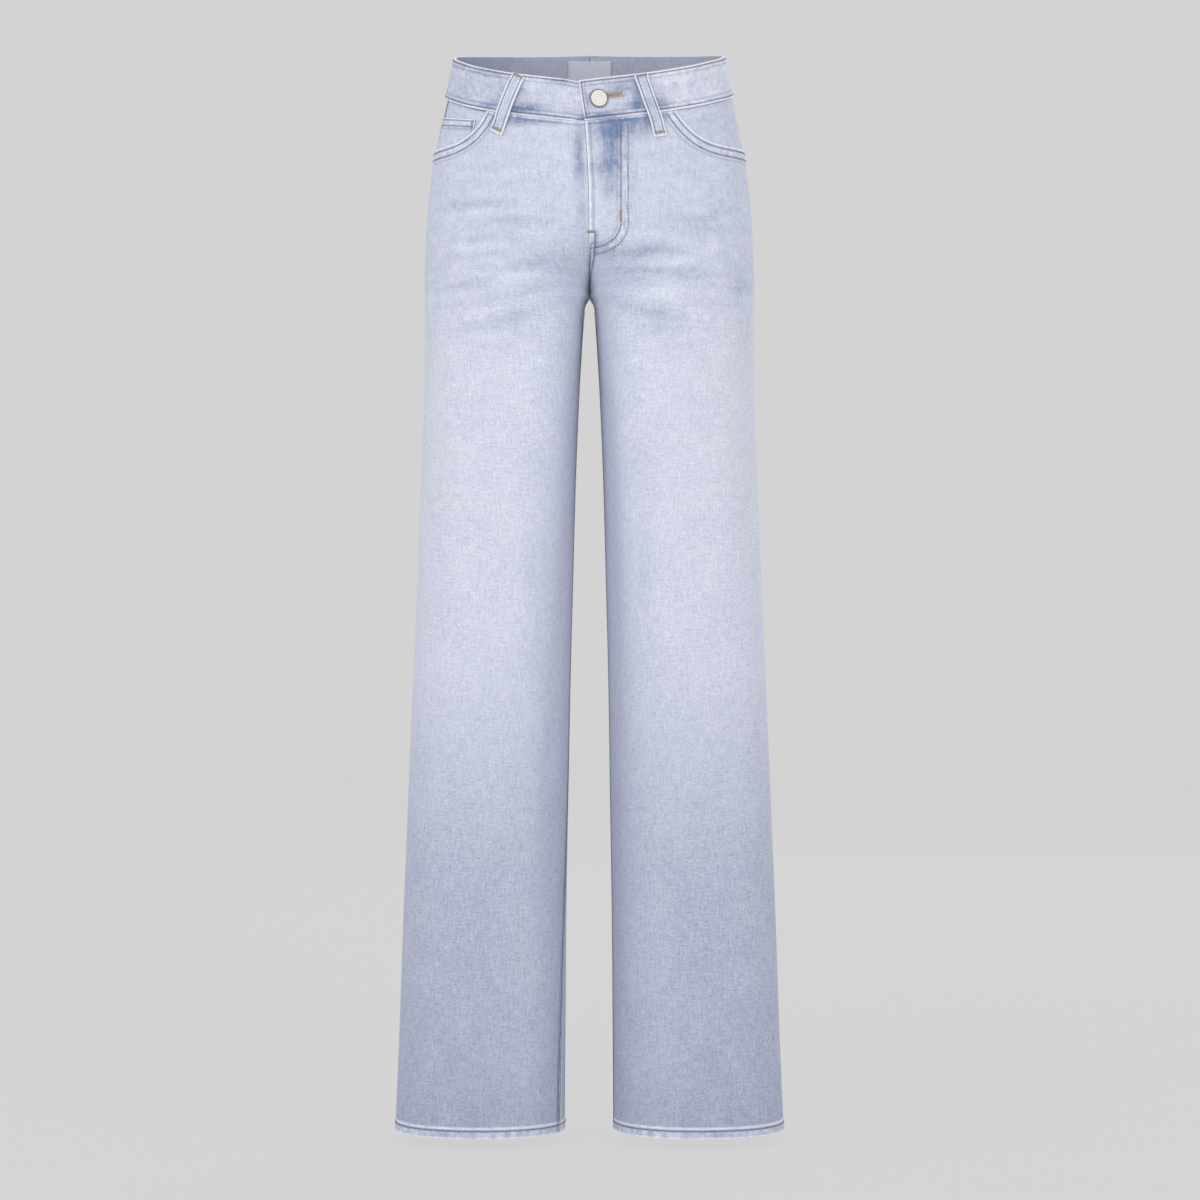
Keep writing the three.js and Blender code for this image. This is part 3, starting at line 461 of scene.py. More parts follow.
def put(name, data):
    """An object in the scene."""
    made = bpy.data.objects.new(name, data)
    bpy.context.scene.collection.objects.link(made)
    return made


def new_piece(name, mesh, finishes):
    """A mesh as one of the pieces of the jeans."""
    for finish in finishes:
        mesh.materials.append(finish)
    piece = put(name, mesh)
    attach(piece, "root")
    return piece


def running(steps):
    """The distance covered at the start and after each step."""
    return np.concatenate(((0,), np.cumsum(steps)))


def lay(name, side, turns, heights, lift, finishes, marks=(), wall=CLOTH, tone=0.0, along=True, soft=0.3,
        slit=None):
    """A piece of cloth: a grid laid on the garment's surface, with its wall inside it. along says
    whether its warp runs up the grid. marks are distances from its edges, which its finish reads.
    soft is how far its edges are rounded, and a slit is a row of cells left out between two columns."""
    turns, heights = np.broadcast_arrays(turns, heights)
    rows, columns = turns.shape
    points, outs = place(side, turns, heights, lift)
    bm = bmesh.new()
    bmesh.ops.create_grid(bm, x_segments=columns - 1, y_segments=rows - 1, size=1)
    if slit:
        row, first, last = slit
        low, high = -1 + 2 * row / (rows - 1), -1 + 2 * (row + 1) / (rows - 1)
        start, end = -1 + 2 * first / (columns - 1), -1 + 2 * last / (columns - 1)
        centres = [(face, face.calc_center_median()) for face in bm.faces]
        gone = [face for face, c in centres if low < c.y < high and start < c.x < end]
        bmesh.ops.delete(bm, geom=gone, context="FACES")
    mesh = as_mesh(bm, name)
    mesh.vertices.foreach_set("co", points.ravel())
    mesh.update()
    face = mesh.polygons[len(mesh.polygons) // 2]
    if np.dot(face.normal, outs.reshape(-1, 3)[face.vertices[0]]) < 0:
        mesh.flip_normals()
    across = np.linalg.norm(np.diff(points, axis=1), axis=2).mean(axis=0)
    up = np.linalg.norm(np.diff(points, axis=0), axis=2).mean(axis=1)
    u, v = np.meshgrid(running(across), running(up))
    uv = np.stack((u, v) if along else (v, u), axis=-1).reshape(-1, 2)
    corners = np.empty(len(mesh.loops), dtype=int)
    mesh.loops.foreach_get("vertex_index", corners)
    mesh.uv_layers.new(name="UVMap").data.foreach_set("uv", uv[corners].ravel())
    marks = dict(marks)
    marks["wash"] = wash(turns, heights, points[..., 0] / MM) + tone
    marks["on_hips"] = smooth((heights + 350) / 130) if along else 0.0
    for mark, values in marks.items():
        layer = mesh.attributes.new(mark, "FLOAT", "POINT")
        layer.data.foreach_set("value", np.ascontiguousarray(np.broadcast_to(values, turns.shape)).ravel())
    mesh.shade_smooth()
    piece = new_piece(name, mesh, finishes)
    solid = piece.modifiers.new("wall", "SOLIDIFY")
    solid.offset = -1
    thick, thin = float(np.max(wall)), float(np.min(wall))
    solid.thickness = thick * MM
    solid.material_offset = len(finishes) - 1
    if thick > thin:
        group = piece.vertex_groups.new(name="thicker")
        thicker = (np.broadcast_to(wall, turns.shape).ravel() - thin) / (thick - thin)
        for index in np.nonzero(thicker)[0]:
            group.add([int(index)], float(thicker[index]), "REPLACE")
        solid.vertex_group = group.name
        solid.thickness_vertex_group = thin / thick
    edge = piece.modifiers.new("edge", "BEVEL")
    edge.affect = "EDGES"
    edge.width = soft * MM
    edge.segments = 2
    edge.profile = 0.5
    edge.material = -1
    edge.limit_method = "ANGLE"
    edge.angle_limit = math.radians(50)
    return piece


class Shade:
    """One socket of a shader. Sums on it add their Math nodes, and node() adds any other."""

    def __init__(self, tree, socket=None):
        self.tree, self.socket = tree, socket

    def node(self, kind, settings=(), sockets=(), out=0):
        made = self.tree.nodes.new("ShaderNode" + kind)
        for name, value in dict(settings).items():
            if name == "stops":
                ramp = made.color_ramp
                for i, (at, colour) in enumerate(value):
                    stop = ramp.elements[i] if i < 2 else ramp.elements.new(at)
                    stop.position, stop.color = at, (*colour, 1)
            else:
                setattr(made, name, value)
        for name, value in dict(sockets).items():
            if isinstance(value, Shade):
                self.tree.links.new(value.socket, made.inputs[name])
            else:
                made.inputs[name].default_value = value
        return Shade(self.tree, made.outputs[out])

    def sum(self, operation, *values):
        return self.node("Math", {"operation": operation}, enumerate(values))

    def __add__(self, other):
        return self.sum("ADD", self, other)

    def __sub__(self, other):
        return self.sum("SUBTRACT", self, other)

    def __rsub__(self, other):
        return self.sum("SUBTRACT", other, self)

    def __mul__(self, other):
        return self.sum("MULTIPLY", self, other)

    __radd__, __rmul__ = __add__, __mul__

    def bell(self, middle, wide):
        """1 at the middle, fading to 0 at that distance from it."""
        return self.sum("MAXIMUM", 1 - self.sum("ABSOLUTE", self - middle) * (1 / wide), 0.0)

    def below(self, end, soft):
        """1 below the end, and 0 past it."""
        limits = {"From Min": end - soft, "From Max": end + soft, "To Min": 1.0, "To Max": 0.0}
        return self.node("MapRange", {"interpolation_type": "SMOOTHSTEP"}, {"Value": self, **limits})

    def drive(self, shader, name):
        self.tree.links.new(self.socket, shader.inputs[name])


def linear(*colour):
    """A colour as seen, 0 to 255, as light."""
    return tuple(((c / 255 + 0.055) / 1.055) ** 2.4 for c in colour)


def new_finish(name, roughness, specular=0.5, metal=0.0):
    material = bpy.data.materials.new(name)
    material.use_nodes = True
    shader = material.node_tree.nodes["Principled BSDF"]
    shader.inputs["Roughness"].default_value = roughness
    shader.inputs["Specular IOR Level"].default_value = specular
    shader.inputs["Metallic"].default_value = metal
    return material, shader, Shade(material.node_tree)


# The washed colours of the right side of the cloth, from the darkest, where painted shade in creases and
# under edges falls, to its palest ridges
DENIM = ((0.0, linear(110, 127, 164)), (0.13, linear(136, 150, 180)), (0.3, linear(159, 165, 187)),
         (0.5, linear(183, 188, 207)), (0.75, linear(206, 210, 226)), (1.0, linear(231, 234, 241)))
# The wrong side, where the white weft shows
WRONG = ((0.0, linear(132, 138, 162)), (0.5, linear(168, 172, 192)), (1.0, linear(200, 203, 217)))


def woven(name, stops, seams=(), coarse=1.0, mottled=1.0):
    """Twill with slubs and mottled washed colour. Each of the seams is an edge: the mark that gives the
    distance from it, how wide it is turned in, where its rows of stitches run, and how worn it is, which
    also sets how deep the painted shade along it is."""
    material, shader, shade = new_finish(name, 0.92, 0.15)
    uv = shade.node("UVMap", {"uv_map": "UVMap"})

    # The scale is how many grains there are in a metre of cloth
    def noise(scale, stretch=(1.0, 1.0, 1.0), detail=2.0):
        spread = shade.node("VectorMath", {"operation": "MULTIPLY"}, {0: uv, 1: stretch})
        sockets = {"Vector": spread, "Scale": scale, "Detail": detail, "Roughness": 0.55}
        return shade.node("TexNoise", {"noise_dimensions": "2D"}, sockets) - 0.5

    turned = shade.node("Mapping", {}, {"Vector": uv, "Rotation": (0, 0, math.radians(-56))})
    twill_sockets = {"Vector": turned, "Scale": 190.0, "Distortion": 1.2, "Detail": 1.0, "Detail Scale": 2.0}
    twill = shade.node("TexWave", {"bands_direction": "X"}, twill_sockets) - 0.5
    cloud = noise(34, (1.0, 0.6, 1.0), 3.0)
    patches = noise(150, (1.0, 0.8, 1.0), 5.0)
    speck = noise(430)
    slub = noise(520, (1.0, 0.15, 1.0))
    weft = noise(560, (0.16, 1.0, 1.0))
    hips = shade.node("Attribute", {"attribute_name": "on_hips"}, out=2)
    streaks = noise(90, (0.3, 1.0, 1.0), 3.0) * hips
    pucker = noise(130, (1.0, 1.0, 1.0), 1.0)
    # The tone of the wash, with painted shade and light in it
    tone = shade.node("Attribute", {"attribute_name": "wash"}, out=2)
    uneven = patches * (0.16 + hips * (0.5 - tone * 0.65))
    tone = tone + (cloud * 0.13 + uneven + streaks * 0.24) * mottled
    tone = tone + (speck * 0.4 + slub * 0.26 + weft * 0.24 + twill * (0.13 + hips * 0.06)) * coarse
    height = slub * 0.25 + weft * 0.2 + twill * 0.22 + speck * 0.25 + patches * 0.3
    for mark, width, rows, worn in seams:
        edge = shade.node("Attribute", {"attribute_name": mark}, out=2)
        inside = edge.below(width, 1.6)
        # Each seam has a worn pale edge, painted shade in the grooves of its rows of stitches, and a painted
        # shadow just past a turned-in edge, where the thicker layers step down to the plain cloth.
        grooves = sum((edge.bell(row, 1.5) for row in rows), 0.0)
        past = edge.bell(width + 1.4, 1.8) if width > 1 else 0.0
        tone = tone + inside * (pucker * 0.7 + 0.04) * worn + edge.bell(0.0, 2.1) * (0.55 * worn)
        tone = tone - grooves * (pucker * 0.8 + 0.45) * worn - past * (0.24 * worn)
        height = height + inside * (1.6 * worn) + inside * pucker * (3.0 * worn) - grooves * (1.5 * worn)
    washed = shade.node("ValToRGB", {"stops": stops}, {"Fac": tone})
    tinted = {"Fac": (noise(11) * 3.0 + 0.25) * hips, "Color1": washed, "Color2": (0.95, 0.99, 1.0, 1.0)}
    shade.node("MixRGB", {"blend_type": "MULTIPLY"}, tinted).drive(shader, "Base Color")
    bump = {"Strength": 0.55, "Distance": 0.0006 * coarse, "Height": height}
    shade.node("Bump", {}, bump).drive(shader, "Normal")
    shader.inputs["Sheen Weight"].default_value = 0.12
    shader.inputs["Sheen Roughness"].default_value = 0.6
    return material


wrong_side = woven("denim_wrong_side", WRONG)


def spun(name, dark, pale, roughness=0.8, metal=0.0, scale=1400.0):
    """Thread or fine metal, uneven from place to place."""
    material, shader, shade = new_finish(name, roughness, 0.3, metal)
    where = shade.node("TexCoord", out=3)
    grain = shade.node("TexNoise", {}, {"Vector": where, "Scale": scale, "Detail": 1.0})
    tone = shade.node("ValToRGB", {"stops": ((0.35, dark), (0.7, pale))}, {"Fac": grain})
    tone.drive(shader, "Base Color")
    return material


topstitch = spun("topstitching", linear(98, 96, 112), linear(154, 147, 150))
tack_thread = spun("tack_thread", linear(140, 122, 108), linear(198, 178, 160))


def along_row(at, lengths, values):
    """What the points of a row have, at distances along it."""
    return np.stack([np.interp(at, lengths, values[:, k]) for k in range(3)], axis=1)


def sew(name, rows, finish, pitch=3.2, size=(2.7, 0.85, 0.5), lift=0.2):
    """Rows of stitches as one mesh. A row is the sides, turns, heights and lifts of points along it, and
    the size of a stitch is along the row, across it and out of the cloth."""
    bm = bmesh.new()
    bmesh.ops.create_uvsphere(bm, u_segments=6, v_segments=4, radius=0.5)
    bmesh.ops.triangulate(bm, faces=bm.faces[:])
    shape = np.array([v.co[:] for v in bm.verts])
    faces = np.array([[v.index for v in f.verts] for f in bm.faces])
    bm.free()
    spots = []
    for sides, turns, heights, lifts in rows:
        sides, turns, heights, lifts = np.broadcast_arrays(sides, turns, heights, lifts)
        points, out = place(sides, turns, heights, lifts + lift)
        lengths = running(np.linalg.norm(np.diff(points, axis=0), axis=1)) / MM
        count = max(1, int(lengths[-1] / pitch))
        at = (np.arange(count) + 0.5) * lengths[-1] / count
        way = along_row(at + 0.4, lengths, points) - along_row(at - 0.4, lengths, points)
        spots.append(np.stack((along_row(at, lengths, points), way, along_row(at, lengths, out))))
    centre, way, out = np.concatenate(spots, axis=1)
    way /= np.linalg.norm(way, axis=1, keepdims=True)
    over = np.cross(way, out)
    over /= np.linalg.norm(over, axis=1, keepdims=True)
    out = np.cross(over, way)
    corners = centre[:, None]
    for axis, column, scale in zip((way, over, out), (2, 0, 1), size):
        corners = corners + shape[None, :, column:column + 1] * axis[:, None] * scale * MM
    joined = (faces[None] + np.arange(len(centre))[:, None, None] * len(shape)).reshape(-1, 3)
    mesh = bpy.data.meshes.new(name)
    mesh.from_pydata(corners.reshape(-1, 3).tolist(), [], joined.tolist())
    bm = bmesh.new()
    bm.from_mesh(mesh)
    bmesh.ops.recalc_face_normals(bm, faces=bm.faces[:])
    bm.to_mesh(mesh)
    bm.free()
    mesh.shade_smooth()
    return new_piece(name, mesh, (finish,))


TACK = {"pitch": 0.5, "size": (0.62, 2.6, 0.9)}


def beside(side, turns, heights, distance):
    """A line on the cloth beside another one, at a distance to the right as seen on the wearer's left
    half, where lines run away from the fly. On the right half it is to the left."""
    points, outs = place(side, turns, heights)
    way = np.gradient(points, axis=0)
    way /= np.linalg.norm(way, axis=1, keepdims=True)
    right = np.cross(way, outs) * side
    around = place(side, turns + 0.01, heights)[0] - points
    along = np.sqrt(np.maximum(1 - right[:, 2] ** 2, 0)) * np.sign(np.einsum("ij,ij->i", around, right))
    heights = heights + right[:, 2] * distance
    return walk(side, turns, heights, along * distance), heights


def at_x(x, z, face=-1):
    """The side and turn of a place given by its x, on the front or the back."""
    x, z = np.broadcast_arrays(np.asarray(x, dtype=float), np.asarray(z, dtype=float))
    return np.where(x < 0, -1, 1), turn_at_x(z, np.abs(x), face)


# Both rows of the J: how far out it runs, the height where it bends, and the height of its foot
FLY_J = ((37.8, -156.0, -183.0), (30.7, -153.0, -177.3))
FLY_FOOT, FLY_RIDGE, FELLED_RIDGE = 5.5, 0.9, 0.5
# How far rows of stitches are from the edge that they follow
MOUTH_ROWS, INSEAM_ROWS, RISE_ROWS, HEM_ROW = (3.5, 10.5), (2.4, 6.6), (1.6, 6.4), 7.6
HEM_LIFT, HEM_WALL, HEM_PALER = 0.5, 2.9, 0.16
# What all four leg panels show at their hems and side seams: worn pale edges, with painted shade along
# the stitching and just past the turned-up hem and the side seam
HEM_WEAR_AND_SHADE = (("from_hem", 7.4, (HEM_ROW,), 0.9), ("from_hem_top", 0.4, (), 1.1), ("from_side", 1.6, (), 0.5))


def fly_j(out, bend, low):
    """Places along a row of the J: x and height, from the waistband down to its foot by the seam."""
    curve = np.linspace(0, math.pi / 2, 24)[1:]
    x = np.concatenate((np.full(40, out), FLY_FOOT + (out - FLY_FOOT) * np.cos(curve)))
    return x, np.concatenate((np.linspace(-58, bend, 40), bend + (low - bend) * np.sin(curve)))


def inner_row(side, face, z, gap, lift):
    """A row of stitches beside a panel's inner edge."""
    return side, walk(side, inner_edge(side, z, face), z, -face * gap), z, lift


def leg_panel(face, word, side, turns, heights, from_side, wide, denim, marks, lift=0.0):
    """A leg panel with the marks that all four have. It stands out at its turned-up hem, and over its
    felled inseam for a strip that many millimetres wide."""
    from_inner = STRETCH[side, -1 if face == "front" else 1].width(heights) - from_side
    in_hem = heights <= HEM_TOP
    felled = smooth((CROTCH_Z - 10 - heights) / 30) * (1 - smooth((from_inner - wide) / 2))
    marks = {**marks, "from_inseam": np.where(heights < CROTCH_Z, np.minimum(from_inner, FAR), FAR),
             "from_hem": np.minimum(heights - HEM_Z, FAR), "from_side": np.minimum(from_side, FAR),
             "from_hem_top": np.minimum(np.abs(heights - HEM_TOP - 1), FAR)}
    lift = lift + np.where(in_hem, HEM_LIFT, 0.0) + FELLED_RIDGE * felled
    leg = lay(face + "_" + word + "_leg", side, turns, heights, lift, (denim, wrong_side), marks,
              wall=np.where(in_hem, HEM_WALL, CLOTH), tone=np.where(in_hem, HEM_PALER, 0.0))
    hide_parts(face + "_" + word)
    return leg


def hem_row(side, face):
    z = np.full(90, HEM_Z + HEM_ROW)
    return side, STRETCH[side, face].turn(z, np.linspace(0.002, 0.998, 90)), z, HEM_LIFT


front_denim = woven("denim_front", DENIM, HEM_WEAR_AND_SHADE + (
    ("from_mouth", 13.0, MOUTH_ROWS, 1.0), ("from_inseam", 8.0, INSEAM_ROWS, 1.3),
    ("from_band", 2.0, (), 0.8), ("from_j", 9.0, (0.0, 7.0), 0.8), ("from_fly", 3.0, (), 1.2),
    ("from_rise", 7.5, RISE_ROWS, 1.3)))
for word, side in HALVES:
    columns = front_columns(side)
    turns, heights = panel_grid(side, -1, columns, lambda shares, s=side: front_top(s, shares))
    points = place(side, turns, heights)[0]
    start = MOUTH_START[side] / front_width(side)
    past, before = np.linspace(start, 1, 60), np.linspace(0, start, 30)
    mouth_z, band_z = front_top(side, past), front_top(side, before)
    mouth_turns = STRETCH[side, -1].turn(mouth_z, past)
    mouth = place(side, mouth_turns, mouth_z)[0]
    band = place(side, STRETCH[side, -1].turn(band_z, before), band_z)[0]
    from_side = STRETCH[side, -1].from_side(heights, columns[None, :])
    from_inner = STRETCH[side, -1].width(heights) - from_side
    x = points[..., 0] / MM
    marks = {"from_mouth": distance_to(points, mouth), "from_band": distance_to(points, band),
             "from_j": FAR, "from_fly": FAR, "from_rise": FAR}
    fly_ridge = 0.0
    if side > 0:
        fly_ridge = FLY_RIDGE * smooth((heights + 188) / 25) * (1 - smooth((from_inner - 2.2) / 2.4))
        out, bend, low = FLY_J[0]
        jx, jz = fly_j(out, bend, low)
        rounding = np.sqrt(np.clip(1 - ((heights - bend) / (low - bend)) ** 2, 0, 1))
        curved = FLY_FOOT + (out - FLY_FOOT) * rounding
        within = (x < np.where(heights > bend, out, curved)) & (heights > low)
        line = place(*at_x(jx, jz), jz)[0]
        marks["from_j"] = np.where(within, distance_to(points, line), FAR)
        marks["from_fly"] = np.where(heights > -175, from_inner, FAR)
        marks["from_rise"] = np.where((heights < -160) & (heights > CROTCH_Z), from_inner, FAR)
    leg = leg_panel("front", word, side, turns, heights, from_side, 7.0, front_denim, marks,
                    fly_ridge)
    rows = [hem_row(side, -1)]
    for gap in MOUTH_ROWS:
        t, z = beside(side, mouth_turns, mouth_z, gap)
        keep = (z < mouth_z[0] - 2) & (past < 0.995)
        rows.append((side, t[keep], z[keep], 0.2))
    z = np.linspace(HEM_TOP + 1, CROTCH_Z - 14, 300)
    rows += [inner_row(side, -1, z, gap, FELLED_RIDGE) for gap in INSEAM_ROWS]
    if side > 0:
        rows += [(*at_x(x, z), z, 0.15) for x, z in (fly_j(*row) for row in FLY_J)]
        z = np.linspace(-164, CROTCH_Z + 3, 30)
        rows += [inner_row(side, -1, z, gap, 0.15) for gap in RISE_ROWS]
    stitches = sew("front_" + word + "_stitching", rows, topstitch)
    word + "_waistband"

# Fly
# A folded facing sewn under the left front's edge, a closed zip behind it and a denim shield behind
# that. Tacks hold the J at its side and at its foot. The cloth is 1 to 1.2 mm thick.

FACING_LIFT = -CLOTH - LAYER
TAPE_LIFT = FACING_LIFT - THIN - LAYER
SHIELD_LIFT = TAPE_LIFT - THIN - LAYER
FACING_BEND, FACING_FOOT, TAPE_FOOT, SHIELD_FOOT = -157.0, -188.0, -172.0, -178.0
TEETH_IN, TAPE_EDGE, SHIELD_EDGE = 16, 29, 38
plain_denim = woven("denim_plain", DENIM)


def behind_fly(name, inner, outer, low, lift, wall, tone, finishes):
    """A strip behind the fly, between two edges that are functions of height, up to the waistband."""
    share, rise = np.linspace(0, 1, 14)[None, :], np.linspace(0, 1, 46)[:, None]
    heights = np.full((46, 14), -60.0)
    for _ in range(4):
        x = inner(heights) + (outer(heights) - inner(heights)) * share
        sides, turns = at_x(x, heights)
        top = band_top(sides, turns) - BAND_HEIGHT - SEAM
        heights = low + (top[-1:] - low) * rise
    x = inner(heights) + (outer(heights) - inner(heights)) * share
    sides, turns = at_x(x, heights)
    return lay(name, sides, turns, heights, lift, finishes, wall=wall, tone=tone)


def facing_edge(z):
    down = np.clip((FACING_BEND - z) / (FACING_BEND - FACING_FOOT), 0, 1)
    return 6 + 35 * np.sqrt(1 - down**2)


tape_cloth = woven("zip_tape", ((0.0, linear(116, 126, 156)), (1.0, linear(150, 158, 182))), coarse=0.6)
zip_metal = spun("zip_metal", linear(150, 146, 140), linear(205, 201, 192), 0.35, 0.9)
facing = behind_fly("fly_facing_cloth", lambda z: fly_edge(z) + 1, facing_edge, FACING_FOOT, FACING_LIFT,
                    THIN, -0.05, (plain_denim, wrong_side))
tape = behind_fly("zip_tape_cloth", lambda z: fly_edge(z) + 3, lambda z: TAPE_EDGE + 0 * z, TAPE_FOOT,
                  TAPE_LIFT, THIN, -0.1, (tape_cloth,))
shield = behind_fly("fly_shield_cloth", lambda z: -12 - 4 * smooth((z - LEVEL_TOP) / 60),
                    lambda z: SHIELD_EDGE + np.minimum(z + 166, 0), SHIELD_FOOT, SHIELD_LIFT, CLOTH,
                    -0.05, (plain_denim, wrong_side))
z = np.linspace(TAPE_FOOT + 4, -60, 60)
teeth = sew("zip_teeth", [(*at_x(fly_edge(z) + TEETH_IN, z), z, TAPE_LIFT - 1.2)], zip_metal, pitch=1.7,
            size=(1.0, 4.4, 0.35), lift=0.0)
for piece, node, word, flat, area in (
        (facing, "fly_facing", "denim", (0.045, 0.14), 0.0055),
        (tape, "zip_tape", "zip_tape", (0.03, 0.125), 0.0034),
        (shield, "fly_shield", "denim", (0.055, 0.13), 0.0065)):
    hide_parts(node)

x = np.linspace(-2, 6, 12)
z = np.full(12, -162.4)
side_z = np.linspace(-142, -152, 12)
fly_tacks = sew("fly_tacks", [(*at_x(x, z), z, 0.9), (*at_x(0 * z + 30.5, side_z), side_z, 0.2)], tack_thread,
                **TACK)

# Front pockets
# Each curved mouth shows a denim facing, and the wearer's right one has a small coin pocket on it.
# A bag of thin off-white cotton hangs behind.

cotton = woven("pocket_cotton", ((0.0, linear(186, 186, 182)), (1.0, linear(240, 239, 234))), coarse=0.5,
               mottled=0.3)
COIN_ROWS = (1.8, 7.6)
coin_denim = woven("denim_coin_pocket", DENIM, (
    ("from_top", 9.0, COIN_ROWS, 1.0), ("from_side", 3.0, (1.8,), 0.7)))
COIN_LIFT = -CLOTH - LAYER
# The coin pocket's start from the end of the mouth, its width, and the heights of its foot and its top
COIN_START, COIN_WIDE, COIN_FOOT, COIN_TOP, COIN_CLIMB = 14, 70, -106, -48.5, 9.5
# How far each reaches under the leg before the mouth starts, and how low it hangs
FACING_UNDER, FACING_LOW, BAG_UNDER, BAG_LOW = 27.0, -118.0, 54.0, -184.0


def behind_mouth(name, side, under, low, lift, tone, finishes):
    start = MOUTH_START[side] / front_width(side)
    shares = np.linspace(start - under / front_width(side), 1, 60)
    heights = low + (under_band(side, -1, shares) - low) * np.linspace(0, 1, 40)[:, None]
    turns = STRETCH[side, -1].turn(heights, shares[None, :])
    return lay(name, side, turns, heights, lift, finishes, wall=THIN, tone=tone)


for word, side in HALVES:
    facing_lift = COIN_LIFT - THIN - LAYER if side < 0 else COIN_LIFT
    facing = behind_mouth(word + "_pocket_facing", side, FACING_UNDER, FACING_LOW, facing_lift, -0.03,
                          (plain_denim, wrong_side))
    bag = behind_mouth(word + "_pocket_bag", side, BAG_UNDER, BAG_LOW, facing_lift - THIN - LAYER, 0.0,
                       (cotton,))
    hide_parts("pocket_facing_" + word)
    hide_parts("pocket_bag_" + word)
    word + "_waistband"
    word + "_waistband"

over = np.linspace(0, 1, 30)
coin_shares = (MOUTH_START[-1] + COIN_START + COIN_WIDE * over) / front_width(-1)
coin_top = COIN_TOP + COIN_CLIMB * over
coin_rise = np.linspace(0, 1, 32)[:, None]
coin_heights = COIN_FOOT + (coin_top - COIN_FOOT) * coin_rise
coin_turns = STRETCH[-1, -1].turn(coin_heights, coin_shares[None, :])
coin = lay("coin_pocket_cloth", -1, coin_turns, coin_heights, COIN_LIFT, (coin_denim, wrong_side),
           {"from_top": coin_top - coin_heights, "from_side": (0.5 - np.abs(over - 0.5)) * COIN_WIDE},
           wall=THIN)
rows = []
for gap in COIN_ROWS:
    rows.append((-1, STRETCH[-1, -1].turn(coin_top - gap, coin_shares), coin_top - gap, COIN_LIFT))
for place_over in (0.026, 0.974):
    z = np.linspace(COIN_FOOT + 2, float(np.interp(place_over, over, coin_top)) - 1, 30)
    shares = np.full(30, float(np.interp(place_over, over, coin_shares)))
    rows.append((-1, STRETCH[-1, -1].turn(z, shares), z, COIN_LIFT))
coin_stitches = sew("coin_pocket_stitching", rows, topstitch, size=(2.5, 0.62, 0.4), lift=0.1)
z = np.linspace(-57.5, -50, 12)
shares = np.full(12, float(np.interp(0.05, over, coin_shares)))
coin_tack = sew("coin_pocket_tack", [(-1, STRETCH[-1, -1].turn(z, shares), z, COIN_LIFT)], tack_thread,
                pitch=0.5, size=(0.62, 2.2, 0.5), lift=0.1)
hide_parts("coin_pocket")

# Back legs
# Two panels in the same denim, joined at the seat by a seam that is felled over to the wearer's left.
# Their inseams lie under those of the front legs, and the hems turn up on all round.

SEAT_ROWS, YOKE_ROWS = (1.6, 7.0), (1.6, 6.8)
back_denim = woven("denim_back", DENIM, HEM_WEAR_AND_SHADE + (
    ("from_seat", 8.5, SEAT_ROWS, 1.0), ("from_inseam", 2.0, (), 0.7), ("from_yoke", 2.0, (), 0.9)))
near_seam = 1 - np.array((0.036, 0.025, 0.016, 0.009, 0.004, 0))
back_columns = np.concatenate((
    np.linspace(0, 0.036, 4), np.linspace(0.036, near_seam[0], 50)[1:-1], near_seam))


def yoke_seam(share):
    return -52 - 28 * share


for word, side in HALVES:
    turns, heights = panel_grid(side, 1, back_columns, lambda shares: yoke_seam(shares) - SEAM / 2, rows=14)
    from_side = STRETCH[side, 1].from_side(heights, back_columns[None, :])
    from_inner = STRETCH[side, 1].width(heights) - from_side
    over_seam = from_inner if side > 0 else FAR
    marks = {"from_seat": np.where(heights > CROTCH_Z, np.minimum(over_seam, FAR), FAR),
             "from_yoke": np.minimum(yoke_seam(back_columns)[None, :] - heights, FAR)}
    leg = leg_panel("back", word, side, turns, heights, from_side, 2.0, back_denim, marks)
    rows = [hem_row(side, 1)]
    if side > 0:
        z = np.linspace(CROTCH_Z + 3, float(yoke_seam(1)) - 1, 60)
        rows += [inner_row(side, 1, z, gap, 0.15) for gap in SEAT_ROWS]
    stitches = sew("back_" + word + "_stitching", rows, topstitch)
    word + "_yoke"

# Yokes
# A tapered strip on each side between the back leg and the waistband, felled down over the leg with
# two rows. It shapes the seat.

yoke_denim = woven("denim_yoke", DENIM, (
    ("from_yoke", 8.0, YOKE_ROWS, 0.9), ("from_seat", 8.5, SEAT_ROWS, 1.0), ("from_band", 2.0, (), 0.7)))
for word, side in HALVES:
    low = yoke_seam(back_columns) + SEAM / 2
    top = under_band(side, 1, back_columns)
    heights = low + (top - low) * np.linspace(0, 1, 30)[:, None]
    turns = STRETCH[side, 1].turn(heights, back_columns[None, :])
    from_inner = STRETCH[side, 1].width(heights) - STRETCH[side, 1].from_side(heights, back_columns[None, :])
    marks = {"from_yoke": heights - low, "from_band": top - heights,
             "from_seat": from_inner if side > 0 else FAR}
    yoke = lay(word + "_yoke", side, turns, heights, 0.0, (yoke_denim, wrong_side), marks, tone=-0.03)
    rows = []
    for gap in YOKE_ROWS:
        z = yoke_seam(back_columns) + gap
        rows.append((side, STRETCH[side, 1].turn(z, back_columns), z, 0.15))
    if side > 0:
        z = np.linspace(float(low[-1]) + 1, float(top[-1]) - 1, 24)
        rows += [inner_row(side, 1, z, gap, 0.15) for gap in SEAT_ROWS]
    stitches = sew(word + "_yoke_stitching", rows, topstitch)
    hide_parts("yoke_" + word)
    word + "_waistband"

# Back pockets
# Patches with a pointed foot and a hemmed mouth, each sewn on with two rows along its sides and foot
# and tacked at both corners of the mouth. They carry no other stitching.

